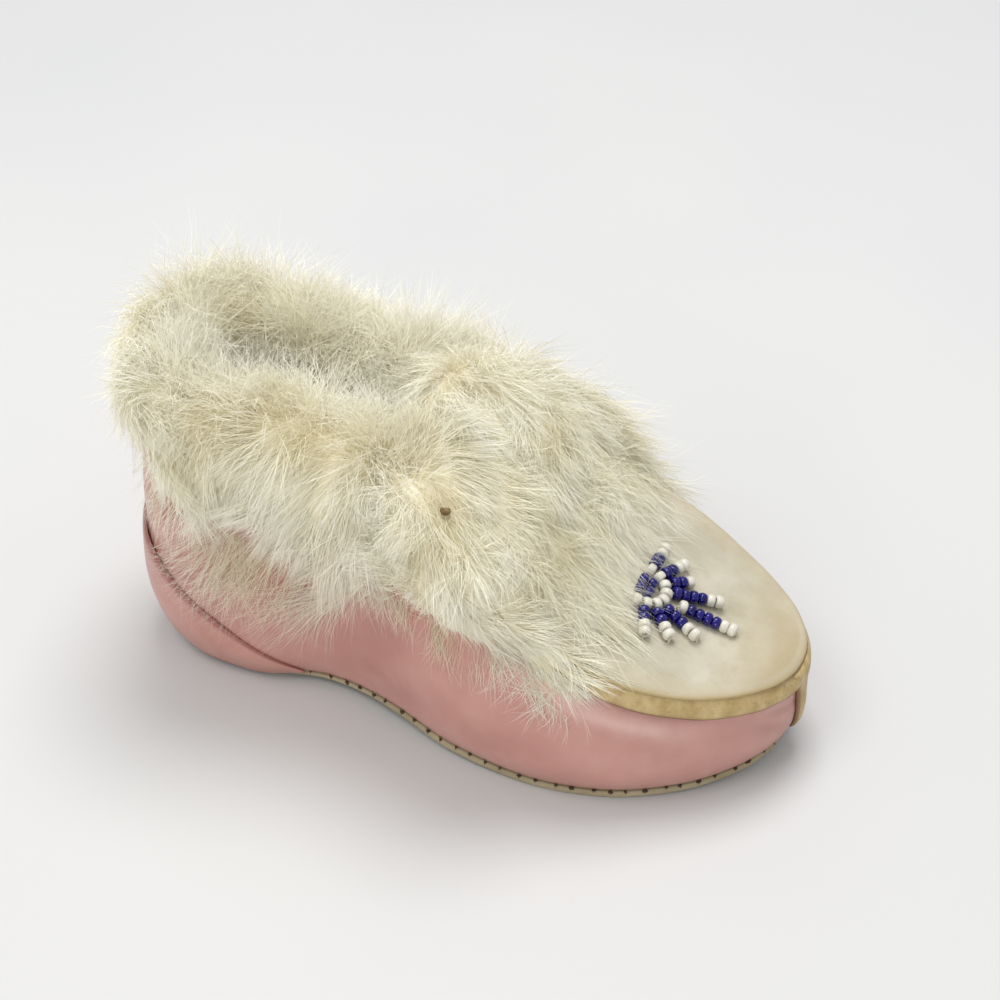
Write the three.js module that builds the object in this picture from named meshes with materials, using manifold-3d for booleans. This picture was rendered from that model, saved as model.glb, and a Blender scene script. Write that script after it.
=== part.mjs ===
// Baby moccasin with a fur cuff: a soft leather upper on a thin leather sole, a suede apron with a rolled
// binding and glass beads, and deep fur round the collar and over the instep.
// Millimetres. +X runs towards the toe, +Y to the left of the foot, +Z up. The shoe stands on z = 0.
import * as THREE from "three";
import { mergeVertices } from "three/addons/utils/BufferGeometryUtils.js";
import Module from "manifold-3d";

const wasm = await Module();
wasm.setup();

// Driving sizes
const GAP = 0.3;              // clearance between pieces that lie against each other
const HEEL_REST_X = 20;       // middle of the flat spot under the heel, which becomes the origin
const SOLE_THICKNESS = 1.4;
const SOLE_BEVEL = 0.45;      // worn round of the sole's lower edge
const INSOLE_THICKNESS = 1.5;
const INSOLE_INSET = 2.4;     // from the foot of the upper to the edge of the insole
const LEATHER = 1.6;          // wall of the upper
const FOOT_TURN = 4;          // height over which the wall's layers turn from level to square to the wall
const SUEDE = 1.6;            // thickness of the apron
const OVERLAY = 1.2;          // thickness of heel counter and toe strip
const BELLY_RISE = 0.22;      // part of the wall's height at which it bellies out
const BELLY_LIMIT = 40;       // wall height above which the belly rises no further
const SHOULDER_RISE = 0.72;   // part of the wall's height at which the shoulder sits
const SHOULDER_PULL = 0.6;    // part of the rim's inset that the shoulder takes up

// Sections of the shoe, from the back of the heel to the tip of the toe. The last is straight, so one side is
// given and the other is its mirror image. Heights are from the floor, and insets are from the outline.
//   x         from the back of the heel        half      half width of the outline
//   lift      underside above the floor        foot      outset of the upper's lower edge
//   edge      outset of the sole's edge        belly     outset of the wall low down
//   shoulder  outset of the wall high up       rimIn     inset of the upper's top edge
//   rimZ      height of the upper's top edge   crown     rise of the apron above its edges
//   hem       height of the fur's lower edge   pile      depth of the fur over the instep
const COLUMNS = [
  "x", "half", "lift", "foot", "edge", "belly", "shoulder", "rimIn", "rimZ", "crown", "hem", "pile",
];
const SECTIONS = {
  heelBack:  [  2.0,  0.0, 1.0, -1.8, -2.3, 5.4, 2.2,  0.2, 52.0, 7.0, 32, 9],
  heelTurn:  [  4.8, 11.4, 0.6, -1.8, -2.3, 5.4, 2.2,  0.4, 52.0, 7.0, 29, 9],
  heelSide:  [ 13.0, 17.2, 0.0, -1.8, -2.3, 5.4, 2.2,  1.0, 51.0, 7.0, 25, 9],
  heelFront: [ 26.0, 18.4, 0.0, -1.7, -2.2, 4.8, 2.2,  2.0, 49.5, 7.0, 19, 9],
  waistBack: [ 38.0, 17.0, 1.1, -1.2, -1.0, 4.2, 2.2,  3.0, 48.0, 7.0, 19, 9],
  waist:     [ 50.0, 19.6, 1.9, -0.8, -0.5, 4.0, 2.5,  4.0, 45.0, 7.0, 28, 9],
  joint:     [ 64.0, 24.4, 0.9, -0.8, -0.5, 4.0, 4.0,  4.2, 37.0, 4.5, 26, 10],
  ball:      [ 79.0, 26.2, 0.0, -0.8, -0.5, 4.0, 4.5,  2.7, 28.0, 2.2, 24, 7],
  tread:     [ 92.0, 24.2, 0.0, -0.8, -0.5, 3.4, 3.0,  0.9, 22.0, 1.2, 20, 3],
  toeSide:   [103.0, 18.8, 0.3, -0.8, -0.5, 2.9, 1.6,  0.0, 18.3, 0.9, 17, 3],
  toeTurn:   [110.7, 12.2, 1.0, -0.8, -0.5, 2.6, 0.5, -0.7, 16.8, 0.5, 15, 3],
  toeFront:  [114.9,  6.0, 1.8, -0.8, -0.5, 2.4, 0.0, -1.0, 16.1, 0.2, 15, 3],
  toeTip:    [116.2,  0.0, 2.1, -0.8, -0.5, 2.4, 0.0, -1.0, 15.9, 0.0, 15, 3],
};
const SECTION_NAMES = Object.keys(SECTIONS);
const TOE_TIP = SECTION_NAMES.indexOf("toeTip");
const WAIST = SECTION_NAMES.indexOf("waist");

// Fineness of the surfaces
const STEPS = 3;              // stations between one section and the next
const WALL_LEVELS = 6;        // steps up the wall
const ACROSS = [-1, -0.7, -0.35, 0, 0.35, 0.7, 1];   // places across the apron, from edge to edge
const BINDING_STEPS = 27;
const COUNTER_STEPS = 20;
const COUNTER_LEVELS = 4;
const STRIP_STEPS = 7;
const CUFF_STEPS = 24;
const PAD_STEPS = 7;

// Rolled binding: its section, as outset from the upper's top edge and height above it
const BINDING_SECTION = [
  [0.2, 0.3],
  [0.6, 1.7],
  [0.1, 3.2],
  [-0.5, 3.9],
  [-1.2, 3.7],
  [-1.2, 2.1],
  [-0.9, 0.3],
];
const BINDING_END = 5.6;      // station, under the fur, where the binding stops
const APRON_INSET = 1.5;      // from the upper's top edge to the edge of the apron
const THROAT = { inset: 2.7, fromX: 52, toX: 58 };  // inset of the apron at its back end, under the fur
const APRON_RISE = 3.5;       // apron's edge above the upper's top edge

// Heel counter: its upper edge falls evenly from the back of the heel to the sole
const COUNTER_END_X = 34;
const COUNTER_FALL = 0.76;    // fall of the edge for each millimetre towards the toe
const COUNTER_LOW_Z = 0.9;    // lower edge above the underside of the sole
const COUNTER_END = 3.62;     // station of each end

// Strip over the toe seam
const STRIP_HALF = 2.6;       // half width at the binding
const STRIP_FOOT = 0.72;      // width at the sole as a part of the width at the binding
const STRIP_LOW = 0.06;       // lower end, as a part of the wall's curve
const STRIP_ACROSS = [-1, -0.5, 0, 0.5, 1];   // places across the strip, from edge to edge

// Fur round the collar. Its section gives outset from the wall, and height as a part of the crest above the
// upper's top edge, or as a part of the hang below it.
const FUR_CREST = 13;
const CUFF_END = 4.95;        // station where the cuff ends and the instep pad starts
const CUFF_SECTION = [
  [1.2, -1.0],
  [4.5, -0.8],
  [7.2, -0.4],
  [8.5, 0.05],
  [7.6, 0.5],
  [4.6, 0.88],
  [1.0, 1.0],
  [-2.4, 0.8],
  [-4.2, 0.4],
  [-4.0, 0.02],
];
const CUFF_LINING = [1, 0.75, 0.5, 0.25];   // where the fur lies on the wall, from its top edge to the hem
// Rows of locks on the cuff: root in its section, lean outwards and upwards, length, number round the collar
const CUFF_LOCKS = [
  { out: 0.6, up: 0.62, leanOut: 0.25, leanUp: 0.95, length: 12, count: 9 },
  { out: 4.0, up: 0.36, leanOut: 0.85, leanUp: 0.4, length: 13, count: 9 },
  { out: 4.8, up: -0.05, leanOut: 0.45, leanUp: -0.85, length: 17, count: 9 },
  { out: 3.8, up: -0.5, leanOut: 0.2, leanUp: -0.97, length: 18, count: 11 },
];
const CUFF_LOCK_MARGIN = 0.35;   // from the cuff's ends to the first and last lock, in sections
const CUFF_LOCK_SPREAD = 0.15;   // unevenness of the locks' places, in sections

// Fur pad over the instep: station and length of each row of locks, which lean forward over the apron
const PAD_BACK = 5.02;        // station at the throat
const PAD_FRONT = 7.4;        // station where the pad ends on the apron
const PAD_AXIS = 0.5;         // axis that the pile stands out from, as a part of the height of the top edge
const PAD_ROOT = 0.75;        // depth of the locks' roots as a part of the pile
const PAD_HEM_LENGTH = 0.45;  // length of a lock at the hem as a part of its row's length
const PAD_LEAN_OUT = 0.4;
const PAD_LEAN_FORWARD = 0.8;
const PAD_SIDE_DEPTHS = [0.2, 0.6, 0.85, 0.95, 1, 1];   // from the hem up to the apron, as parts of the pile
const PAD_LOCKS = [
  { at: 5.2, length: 16 },
  { at: 5.9, length: 16 },
  { at: 6.6, length: 13 },
  { at: 7.1, length: 8 },
];
const PAD_LOCK_STEP = 4;      // points of the path across the instep from one lock to the next
const FUR_GAP = 0.6;          // clearance between the fur's body and what it lies on
const LOCK_GAP = 0.2;         // clearance between the roots of the locks and what they lie on
const LOCK_RADIUS = 4.8;
const LOCK_FLATNESS = 0.6;    // thickness of a lock as a part of its width
const LOCK_SIDES = 5;
const LOCK_DROOP = 0.2;       // sag of a lock's tip as a part of its length
const LOCK_SWING = 0.25;      // sideways lean
const LOCK_UNEVEN = 0.2;      // spread of the lengths
const LOCK_TAPER = [
  [0, 0.3],
  [0.4, 1.0],
  [1.0, 0.06],
];

// Glass beads on the apron: a half rosette that opens towards the toe. The chart gives each ray's angle from
// the toe direction, the distance of its first bead from the middle, and its beads, b for blue, w for white.
const BEAD_RADIUS = 1.0;
const BEAD_HOLE = 0.4;
const BEAD_LENGTH = 1.2;
const BEAD_WAIST = 0.8;       // length of the bead's rounded rim
const BEAD_SIDES = 6;
const BEAD_PITCH = 1.45;
const ROSETTE = { x: 89.2, y: -2.0 };
const ROSETTE_RAYS = [
  { degrees: -70, start: 5.7, chart: "bbww" },
  { degrees: -46, start: 5.7, chart: "bbww" },
  { degrees: -23, start: 5.8, chart: "bbbww" },
  { degrees: 0, start: 7.2, chart: "wbbbbww" },
  { degrees: 22, start: 5.8, chart: "bbbbww" },
  { degrees: 43, start: 6.0, chart: "bbw" },
  { degrees: 64, start: 5.8, chart: "bbww" },
  { degrees: 86, start: 5.7, chart: "bbww" },
];
const ROSETTE_RING = { radius: 4.0, beads: 8, step: 25 };
const ROSETTE_CENTRE = { rows: [-0.2, 1.3], side: 1.1 };

// The outline as one loop: right side from heel to toe, then left side from toe to heel
const sections = SECTION_NAMES.map((name) => {
  const values = COLUMNS.map((column, i) => [column, SECTIONS[name][i]]);
  return Object.fromEntries(values);
});
const rightSide = sections.map((row) => ({ ...row, y: -row.half }));
const leftSide = sections.slice(1, -1).reverse().map((row) => ({ ...row, y: row.half }));
const LOOP = [...rightSide, ...leftSide];

// The place between two limits where a test turns from true to false
function bisect(low, high, isBelow) {
  const halvings = 24;
  let [from, to] = [low, high];
  for (let i = 0; i < halvings; i += 1) {
    const middle = (from + to) / 2;
    [from, to] = isBelow(middle) ? [middle, to] : [from, middle];
  }
  return (from + to) / 2;
}

// Smooth curve between the middle two of four values
function spline(before, from, to, after, t) {
  const leave = (to - before) / 2;
  const arrive = (after - from) / 2;
  const square = t * t;
  const cube = square * t;
  return from * (2 * cube - 3 * square + 1) + leave * (cube - 2 * square + t)
    + to * (3 * square - 2 * cube) + arrive * (cube - square);
}

function sizesAt(s) {
  const first = Math.floor(s);
  const row = (step) => LOOP[(first + step + 2 * LOOP.length) % LOOP.length];
  const sizes = {};
  for (const column of [...COLUMNS, "y"]) {
    const knots = [-1, 0, 1, 2].map((step) => row(step)[column]);
    sizes[column] = spline(...knots, s - first);
  }
  sizes.lift = Math.max(0, sizes.lift);
  return sizes;
}

// A station: the sizes at one place on the loop, with the outward direction of the outline there
function station(s) {
  const here = sizesAt(s);
  const reach = 0.01;
  const back = sizesAt(s - reach);
  const ahead = sizesAt(s + reach);
  const length = Math.hypot(ahead.x - back.x, ahead.y - back.y);
  here.outX = (ahead.y - back.y) / length;
  here.outY = (back.x - ahead.x) / length;
  return here;
}

function at(place, out, z) {
  return new THREE.Vector3(place.x + place.outX * out, place.y + place.outY * out, z);
}

function mirrored(point) {
  return new THREE.Vector3(point.x, -point.y, point.z);
}

// The wall of the upper at one station: a curve from the sole (t = 0) to the top edge (t = 1)
function wall(place, t) {
  const base = place.lift + SOLE_THICKNESS + GAP;
  const height = place.rimZ - base;
  const curve = new THREE.CubicBezierCurve(
    new THREE.Vector2(place.foot, base),
    new THREE.Vector2(place.belly, base + BELLY_RISE * Math.min(height, BELLY_LIMIT)),
    new THREE.Vector2(place.shoulder - SHOULDER_PULL * place.rimIn, base + SHOULDER_RISE * height),
    new THREE.Vector2(-place.rimIn, place.rimZ),
  );
  const point = curve.getPoint(t);
  const along = curve.getTangent(t);
  const turn = Math.min(1, (point.y - base) / FOOT_TURN);
  const face = new THREE.Vector2(1, 0).lerp(new THREE.Vector2(along.y, -along.x), turn).normalize();
  return { out: point.x, z: point.y, faceOut: face.x, faceUp: face.y };
}

// A point of the wall, moved outwards square to the wall
function skin(place, t, outwards) {
  const point = wall(place, t);
  return at(place, point.out + point.faceOut * outwards, point.z + point.faceUp * outwards);
}

function wallAtHeight(place, z) {
  return bisect(0, 1, (t) => wall(place, t).z < z);
}

function steps(from, to, count) {
  return Array.from({ length: count + 1 }, (_, i) => from + ((to - from) * i) / count);
}

// Closed surface: doubled points merged, empty triangles dropped, faces turned outwards
function closed(loose) {
  loose.deleteAttribute("normal");
  loose.deleteAttribute("uv");
  const geometry = mergeVertices(loose, 1e-4);
  const index = Array.from(geometry.index.array);
  const faces = [];
  for (let i = 0; i < index.length; i += 3) {
    const [a, b, c] = index.slice(i, i + 3);
    if (a !== b && b !== c && c !== a) {
      faces.push([a, b, c]);
    }
  }
  const corner = (i) => new THREE.Vector3().fromBufferAttribute(geometry.attributes.position, i);
  const volume = faces.reduce((sum, [a, b, c]) => sum + corner(a).dot(corner(b).cross(corner(c))), 0);
  const turned = volume > 0 ? faces : faces.map(([a, b, c]) => [a, c, b]);
  geometry.setIndex(turned.flat());
  return geometry;
}

function capFaces(ring, first, reversed) {
  const normal = new THREE.Vector3();
  ring.forEach((point, i) => normal.add(point.clone().cross(ring[(i + 1) % ring.length])));
  const across = ring[1].clone().sub(ring[0]).cross(normal).normalize();
  const along = across.clone().cross(normal).normalize();
  const flat = ring.map((point) => new THREE.Vector2(point.dot(across), point.dot(along)));
  return THREE.ShapeUtils.triangulateShape(flat, []).map(([a, b, c]) => {
    const side = ring[b].clone().sub(ring[a]).cross(ring[c].clone().sub(ring[a]));
    const follows = side.dot(normal) > 0;
    return follows !== reversed ? [first + a, first + b, first + c] : [first + a, first + c, first + b];
  });
}

// Solid through a row of rings with equal numbers of points. A looped row has no ends, and a row that runs
// out to a point or an edge needs no caps.
function loft(rings, { looped = false, startCap = false, endCap = false } = {}) {
  const size = rings[0].length;
  const faces = [];
  const spans = looped ? rings.length : rings.length - 1;
  for (let k = 0; k < spans; k += 1) {
    const near = k * size;
    const far = ((k + 1) % rings.length) * size;
    for (let i = 0; i < size; i += 1) {
      const j = (i + 1) % size;
      faces.push([near + i, near + j, far + j], [near + i, far + j, far + i]);
    }
  }
  const last = rings.length - 1;
  if (startCap) {
    faces.push(...capFaces(rings[0], 0, true));
  }
  if (endCap) {
    faces.push(...capFaces(rings[last], last * size, false));
  }
  const loose = new THREE.BufferGeometry().setFromPoints(rings.flat());
  loose.setIndex(faces.flat());
  return closed(loose);
}

const CAPPED = { startCap: true, endCap: true };

function solid(geometry) {
  const vertProperties = new Float32Array(geometry.attributes.position.array);
  const triVerts = new Uint32Array(geometry.index.array);
  return new wasm.Manifold(new wasm.Mesh({ numProp: 3, vertProperties, triVerts }));
}

function geometryOf(shape) {
  const { vertProperties, triVerts } = shape.getMesh();
  const geometry = new THREE.BufferGeometry();
  geometry.setAttribute("position", new THREE.BufferAttribute(vertProperties, 3));
  geometry.setIndex(new THREE.BufferAttribute(triVerts, 1));
  return geometry;
}

const SIDE_STATIONS = steps(0, TOE_TIP, TOE_TIP * STEPS);
const LOOP_STATIONS = steps(0, LOOP.length, LOOP.length * STEPS).slice(0, -1);

// Slab across the shoe between two heights above the underside, with its edge set out from the outline
function slab(edgeOf, low, high, bevel) {
  const rings = SIDE_STATIONS.map((s) => {
    const place = station(s);
    const edge = edgeOf(place);
    const right = [
      at(place, edge - bevel, place.lift + low),
      at(place, edge, place.lift + low + bevel),
      at(place, edge, place.lift + high),
    ];
    return [...right, ...right.map(mirrored).reverse()];
  });
  return loft(rings);
}

function outsole() {
  return slab((place) => place.edge, 0, SOLE_THICKNESS, SOLE_BEVEL);
}

function insole() {
  const low = SOLE_THICKNESS + GAP;
  return slab((place) => place.foot - INSOLE_INSET, low, low + INSOLE_THICKNESS, GAP);
}

// The upper: one closed wall round the foot, open above and below. Its faces may be moved out by a clearance.
function upper(clearance = 0) {
  const levels = steps(0, 1, WALL_LEVELS);
  const rings = LOOP_STATIONS.map((s) => {
    const place = station(s);
    const outside = levels.map((t) => skin(place, t, clearance));
    const inside = levels.map((t) => skin(place, t, -LEATHER - clearance));
    if (clearance > 0) {
      outside.push(at(place, -place.rimIn + clearance, place.rimZ + clearance));
      inside.push(at(place, -place.rimIn - LEATHER - clearance, place.rimZ + clearance));
    }
    return [...outside, ...inside.reverse()];
  });
  return loft(rings, { looped: true });
}

// Heel counter: a layer on the upper, from its falling upper edge down past the edge of the sole
function heelCounter(clearance = 0) {
  const near = GAP - clearance;
  const far = GAP + OVERLAY + clearance;
  const rings = steps(-COUNTER_END, COUNTER_END, COUNTER_STEPS).map((s) => {
    const place = station(s);
    const foot = wall(place, 0);
    const topZ = Math.max(foot.z + GAP, foot.z + COUNTER_FALL * (COUNTER_END_X - place.x)) + clearance;
    const levels = steps(0, wallAtHeight(place, topZ), COUNTER_LEVELS);
    const lowZ = place.lift + COUNTER_LOW_Z;
    const outside = [at(place, foot.out + far, lowZ), ...levels.map((t) => skin(place, t, far))];
    const inside = [at(place, foot.out + near, lowZ), ...levels.map((t) => skin(place, t, near))];
    return [...outside, ...inside.reverse()];
  });
  return loft(rings, CAPPED);
}

// Station near the tip of the toe whose outline lies the given distance left of the middle
function stationAcross(y) {
  return station(bisect(TOE_TIP - 1, TOE_TIP + 1, (s) => sizesAt(s).y < y));
}

function toeStrip() {
  const near = GAP;
  const far = GAP + OVERLAY;
  const rings = steps(STRIP_LOW, 1, STRIP_STEPS).map((t) => {
    const half = STRIP_HALF * (STRIP_FOOT + (1 - STRIP_FOOT) * t);
    const reach = STRIP_ACROSS.map((part) => stationAcross(part * half));
    return [
      ...reach.map((place) => skin(place, t, far)),
      ...reach.map((place) => skin(place, t, near)).reverse(),
    ];
  });
  return loft(rings, CAPPED);
}

function apronBinding() {
  const rings = steps(BINDING_END, 2 * TOE_TIP - BINDING_END, BINDING_STEPS).map((s) => {
    const place = station(s);
    return BINDING_SECTION.map(([out, up]) => at(place, out - place.rimIn, place.rimZ + up));
  });
  return loft(rings, CAPPED);
}

// Apron: a crowned panel between the two bindings, from the toe up over the instep to the throat
function apronEdge(place) {
  const part = (place.x - THROAT.fromX) / (THROAT.toX - THROAT.fromX);
  const inset = THROAT.inset + (APRON_INSET - THROAT.inset) * Math.min(1, Math.max(0, part));
  return at(place, -place.rimIn - inset, place.rimZ + APRON_RISE);
}

function apronRow(place, lifted) {
  const edge = apronEdge(place);
  return ACROSS.map((part) => {
    const rise = place.crown * (1 - part * part);
    return new THREE.Vector3(edge.x, -edge.y * part, edge.z + lifted + rise);
  });
}

function vampApron() {
  const rings = steps(TOE_TIP, WAIST, (TOE_TIP - WAIST) * STEPS).map((s) => {
    const place = station(s);
    return [...apronRow(place, 0), ...apronRow(place, -SUEDE).reverse()];
  });
  return loft(rings, { endCap: true });
}

// The outer round of the binding at one station
function bindingRoll(place, clearance) {
  const rounded = [BINDING_SECTION[1], BINDING_SECTION[3]];
  return rounded.map(([out, up]) => at(place, out - place.rimIn + clearance, place.rimZ + up + clearance));
}

// The whole closed form under the fur: walls, binding and apron, moved out by a clearance
function underForm(clearance) {
  const levels = steps(0, 1, WALL_LEVELS);
  const rings = SIDE_STATIONS.map((s) => {
    const place = station(s);
    const side = levels.map((t) => skin(place, t, clearance));
    const right = [...side, ...bindingRoll(place, clearance)];
    return [...right, ...apronRow(place, clearance), ...right.map(mirrored).reverse()];
  });
  return solid(loft(rings));
}

// One lock of hair: a tapering tuft that droops towards its tip
function lock(root, direction, length) {
  const along = direction.clone().normalize();
  const across = new THREE.Vector3(-along.y, along.x, 0.01).normalize();
  const third = along.clone().cross(across);
  const rings = LOCK_TAPER.map(([part, width]) => {
    const middle = root.clone().addScaledVector(along, length * part);
    middle.z -= LOCK_DROOP * length * part ** 2;
    return steps(0, 2 * Math.PI, LOCK_SIDES).slice(1).map((angle) => middle.clone()
      .addScaledVector(across, LOCK_RADIUS * width * Math.cos(angle))
      .addScaledVector(third, LOCK_RADIUS * LOCK_FLATNESS * width * Math.sin(angle)));
  });
  return solid(loft(rings, CAPPED));
}

// Even, repeatable unevenness between -1 and 1
function wobble(seed) {
  return Math.sin(seed * 7.31 + 1.7 * Math.sin(seed * 3.17));
}

// Point of the cuff's section: outset from the wall, and height as a part of the crest above the upper's top
// edge, or as a part of the hang below it
function cuffPoint(place, out, up) {
  if (up >= 0) {
    return at(place, out - place.rimIn, place.rimZ + up * FUR_CREST);
  }
  const z = place.rimZ + up * (place.rimZ - place.hem);
  return at(place, wall(place, wallAtHeight(place, z)).out + out, z);
}

function furCuff() {
  const rings = steps(-CUFF_END, CUFF_END, CUFF_STEPS).map((s) => {
    const place = station(s);
    const hem = wallAtHeight(place, place.hem);
    const lining = CUFF_LINING.map((part) => skin(place, hem + (1 - hem) * part, FUR_GAP));
    const over = at(place, -place.rimIn - LEATHER - FUR_GAP, place.rimZ + 2 * FUR_GAP);
    const rim = at(place, -place.rimIn + FUR_GAP, place.rimZ + 2 * FUR_GAP);
    return [...CUFF_SECTION.map(([out, up]) => cuffPoint(place, out, up)), over, rim, ...lining];
  });
  let fur = solid(loft(rings, CAPPED));
  const reach = CUFF_END - CUFF_LOCK_MARGIN;
  CUFF_LOCKS.forEach(({ out, up, leanOut, leanUp, length, count }, row) => {
    steps(-reach, reach, count - 1).forEach((s, i) => {
      const seed = 10 * row + i;
      const place = station(s + CUFF_LOCK_SPREAD * wobble(seed));
      const swing = LOCK_SWING * wobble(seed + 0.5);
      const direction = new THREE.Vector3(
        leanOut * place.outX - swing * place.outY,
        leanOut * place.outY + swing * place.outX,
        leanUp,
      );
      const size = 1 + LOCK_UNEVEN * wobble(seed + 0.25);
      fur = fur.add(lock(cuffPoint(place, out, up), direction, length * size));
    });
  });
  return fur.subtract(solid(upper(LOCK_GAP))).subtract(solid(heelCounter(LOCK_GAP)));
}

// The path across the instep at one station, from the hem on the right to the hem on the left, with the depth
// of fur at each point as a part of the pile
function padPath(place) {
  const hem = wallAtHeight(place, Math.min(place.hem, place.rimZ - 1));
  const side = [...steps(hem, 1, 3).map((t) => skin(place, t, 0)), ...bindingRoll(place, 0)];
  const top = apronRow(place, 0);
  return {
    points: [...side, ...top, ...side.map(mirrored).reverse()],
    depths: [...PAD_SIDE_DEPTHS, ...top.map(() => 1), ...PAD_SIDE_DEPTHS.toReversed()],
  };
}

function outFromAxis(place, point) {
  return new THREE.Vector3(0, point.y, point.z - PAD_AXIS * place.rimZ).normalize();
}

function furPad() {
  const rings = steps(PAD_BACK, PAD_FRONT, PAD_STEPS).map((s) => {
    const place = station(s);
    const { points, depths } = padPath(place);
    const move = (point, depth) => point.clone().addScaledVector(outFromAxis(place, point), depth);
    const outside = points.map((point, i) => move(point, depths[i] * place.pile));
    const inside = points.map((point) => move(point, FUR_GAP));
    return [...outside, ...inside.reverse()];
  });
  let fur = solid(loft(rings, CAPPED));
  PAD_LOCKS.forEach(({ at: s, length }, row) => {
    const place = station(s);
    const { points, depths } = padPath(place);
    for (let i = 2 * (row % 2); i < points.length; i += PAD_LOCK_STEP) {
      const seed = 20 * row + i;
      const out = outFromAxis(place, points[i]);
      const root = points[i].clone().addScaledVector(out, PAD_ROOT * depths[i] * place.pile);
      const direction = out.multiplyScalar(PAD_LEAN_OUT);
      direction.x += PAD_LEAN_FORWARD;
      direction.y += LOCK_SWING * wobble(seed);
      const taper = PAD_HEM_LENGTH + (1 - PAD_HEM_LENGTH) * depths[i];
      const size = 1 + LOCK_UNEVEN * wobble(seed + 0.25);
      fur = fur.add(lock(root, direction, length * taper * size));
    }
  });
  return fur.subtract(underForm(LOCK_GAP));
}

// Height of the apron above the floor at a place on it
function apronHeight(x, y) {
  const place = station(bisect(WAIST, TOE_TIP, (s) => apronEdge(station(s)).x < x));
  const edge = apronEdge(place);
  return edge.z + place.crown * (1 - (y / edge.y) ** 2);
}

function beadGeometry() {
  const profile = [
    new THREE.Vector2(BEAD_HOLE, -BEAD_LENGTH / 2),
    new THREE.Vector2(BEAD_RADIUS, -BEAD_WAIST / 2),
    new THREE.Vector2(BEAD_RADIUS, BEAD_WAIST / 2),
    new THREE.Vector2(BEAD_HOLE, BEAD_LENGTH / 2),
    new THREE.Vector2(BEAD_HOLE, -BEAD_LENGTH / 2),
  ];
  return closed(new THREE.LatheGeometry(profile, BEAD_SIDES));
}

// Places of the beads, from the rosette's middle towards the toe and to the left, and the way of their thread
function beadPlaces() {
  const polar = (degrees, radius, turn, colour) => {
    const angle = THREE.MathUtils.degToRad(degrees);
    return { x: radius * Math.cos(angle), y: radius * Math.sin(angle), thread: angle + turn, colour };
  };
  const rays = ROSETTE_RAYS.flatMap(({ degrees, start, chart }) => (
    [...chart].map((letter, i) => polar(degrees, start + i * BEAD_PITCH, 0, letter))
  ));
  const { radius, beads, step } = ROSETTE_RING;
  const first = (-step * (beads - 1)) / 2;
  const ring = Array.from({ length: beads }, (_, i) => polar(first + i * step, radius, Math.PI / 2, "w"));
  const centre = ROSETTE_CENTRE.rows.flatMap((x) => [-1, 1].map((hand) => (
    { x, y: hand * ROSETTE_CENTRE.side, thread: 0, colour: "b" }
  )));
  return [...rays, ...ring, ...centre];
}

// Direction square to the apron at a place on it
function apronNormal(x, y) {
  const reach = 0.5;
  const slopeX = (apronHeight(x + reach, y) - apronHeight(x - reach, y)) / (2 * reach);
  const slopeY = (apronHeight(x, y + reach) - apronHeight(x, y - reach)) / (2 * reach);
  return new THREE.Vector3(-slopeX, -slopeY, 1).normalize();
}

// Assembly
const LOOKS = {
  pink: { color: 0xc98b86, roughness: 0.5 },
  suede: { color: 0xe4dcc8, roughness: 0.95 },
  binding: { color: 0xd8c49c, roughness: 0.7 },
  sole: { color: 0xd9cbb4, roughness: 0.85 },
  fur: { color: 0xefe9d8, roughness: 1.0 },
  blue: { color: 0x1d1a7a, roughness: 0.15 },
  white: { color: 0xf2efe6, roughness: 0.2 },
};
const shoe = new THREE.Group();
shoe.position.x = -HEEL_REST_X;

function add(name, geometry, look) {
  const material = new THREE.MeshStandardMaterial({ ...look, metalness: 0 });
  const mesh = new THREE.Mesh(geometry, material);
  mesh.name = name;
  shoe.add(mesh);
  return mesh;
}

function addBeads() {
  const geometry = beadGeometry();
  beadPlaces().forEach(({ x, y, thread, colour }, i) => {
    const look = colour === "b" ? "blue" : "white";
    const number = String(i + 1).padStart(2, "0");
    const mesh = add(`bead_${look}_${number}`, geometry, LOOKS[look]);
    const foot = new THREE.Vector3(ROSETTE.x + x, ROSETTE.y + y, 0);
    foot.z = apronHeight(foot.x, foot.y);
    const normal = apronNormal(foot.x, foot.y);
    const along = new THREE.Vector3(Math.cos(thread), Math.sin(thread), 0);
    mesh.position.copy(foot).addScaledVector(normal, BEAD_RADIUS + GAP);
    mesh.quaternion.setFromUnitVectors(new THREE.Vector3(0, 1, 0), along.projectOnPlane(normal).normalize());
  });
}

add("outsole", outsole(), LOOKS.sole);
add("insole", insole(), LOOKS.sole);
add("upper", upper(), LOOKS.pink);
add("heel_counter", heelCounter(), LOOKS.pink);
add("toe_strip", toeStrip(), LOOKS.binding);
add("apron_binding", apronBinding(), LOOKS.binding);
add("vamp_apron", vampApron(), LOOKS.suede);
add("fur_cuff", geometryOf(furCuff()), LOOKS.fur);
add("fur_pad", geometryOf(furPad()), LOOKS.fur);
addBeads();

const object = new THREE.Group();
object.add(shoe);
export default object;
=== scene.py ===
"""Looks of a baby moccasin with a fur cuff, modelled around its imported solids.

Shapes are worked out in millimetres from the back of the heel, with +X towards the toe, +Y to the left of the
foot and +Z up. They become metres in the part's frame when a mesh is made. Stations count the sections round
the outline: from 0 at the back of the heel along the right side, and below zero along the left side.
"""
import math
from types import SimpleNamespace

import bmesh
import bpy
import numpy as np
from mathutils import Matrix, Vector
from mathutils.kdtree import KDTree


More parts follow.
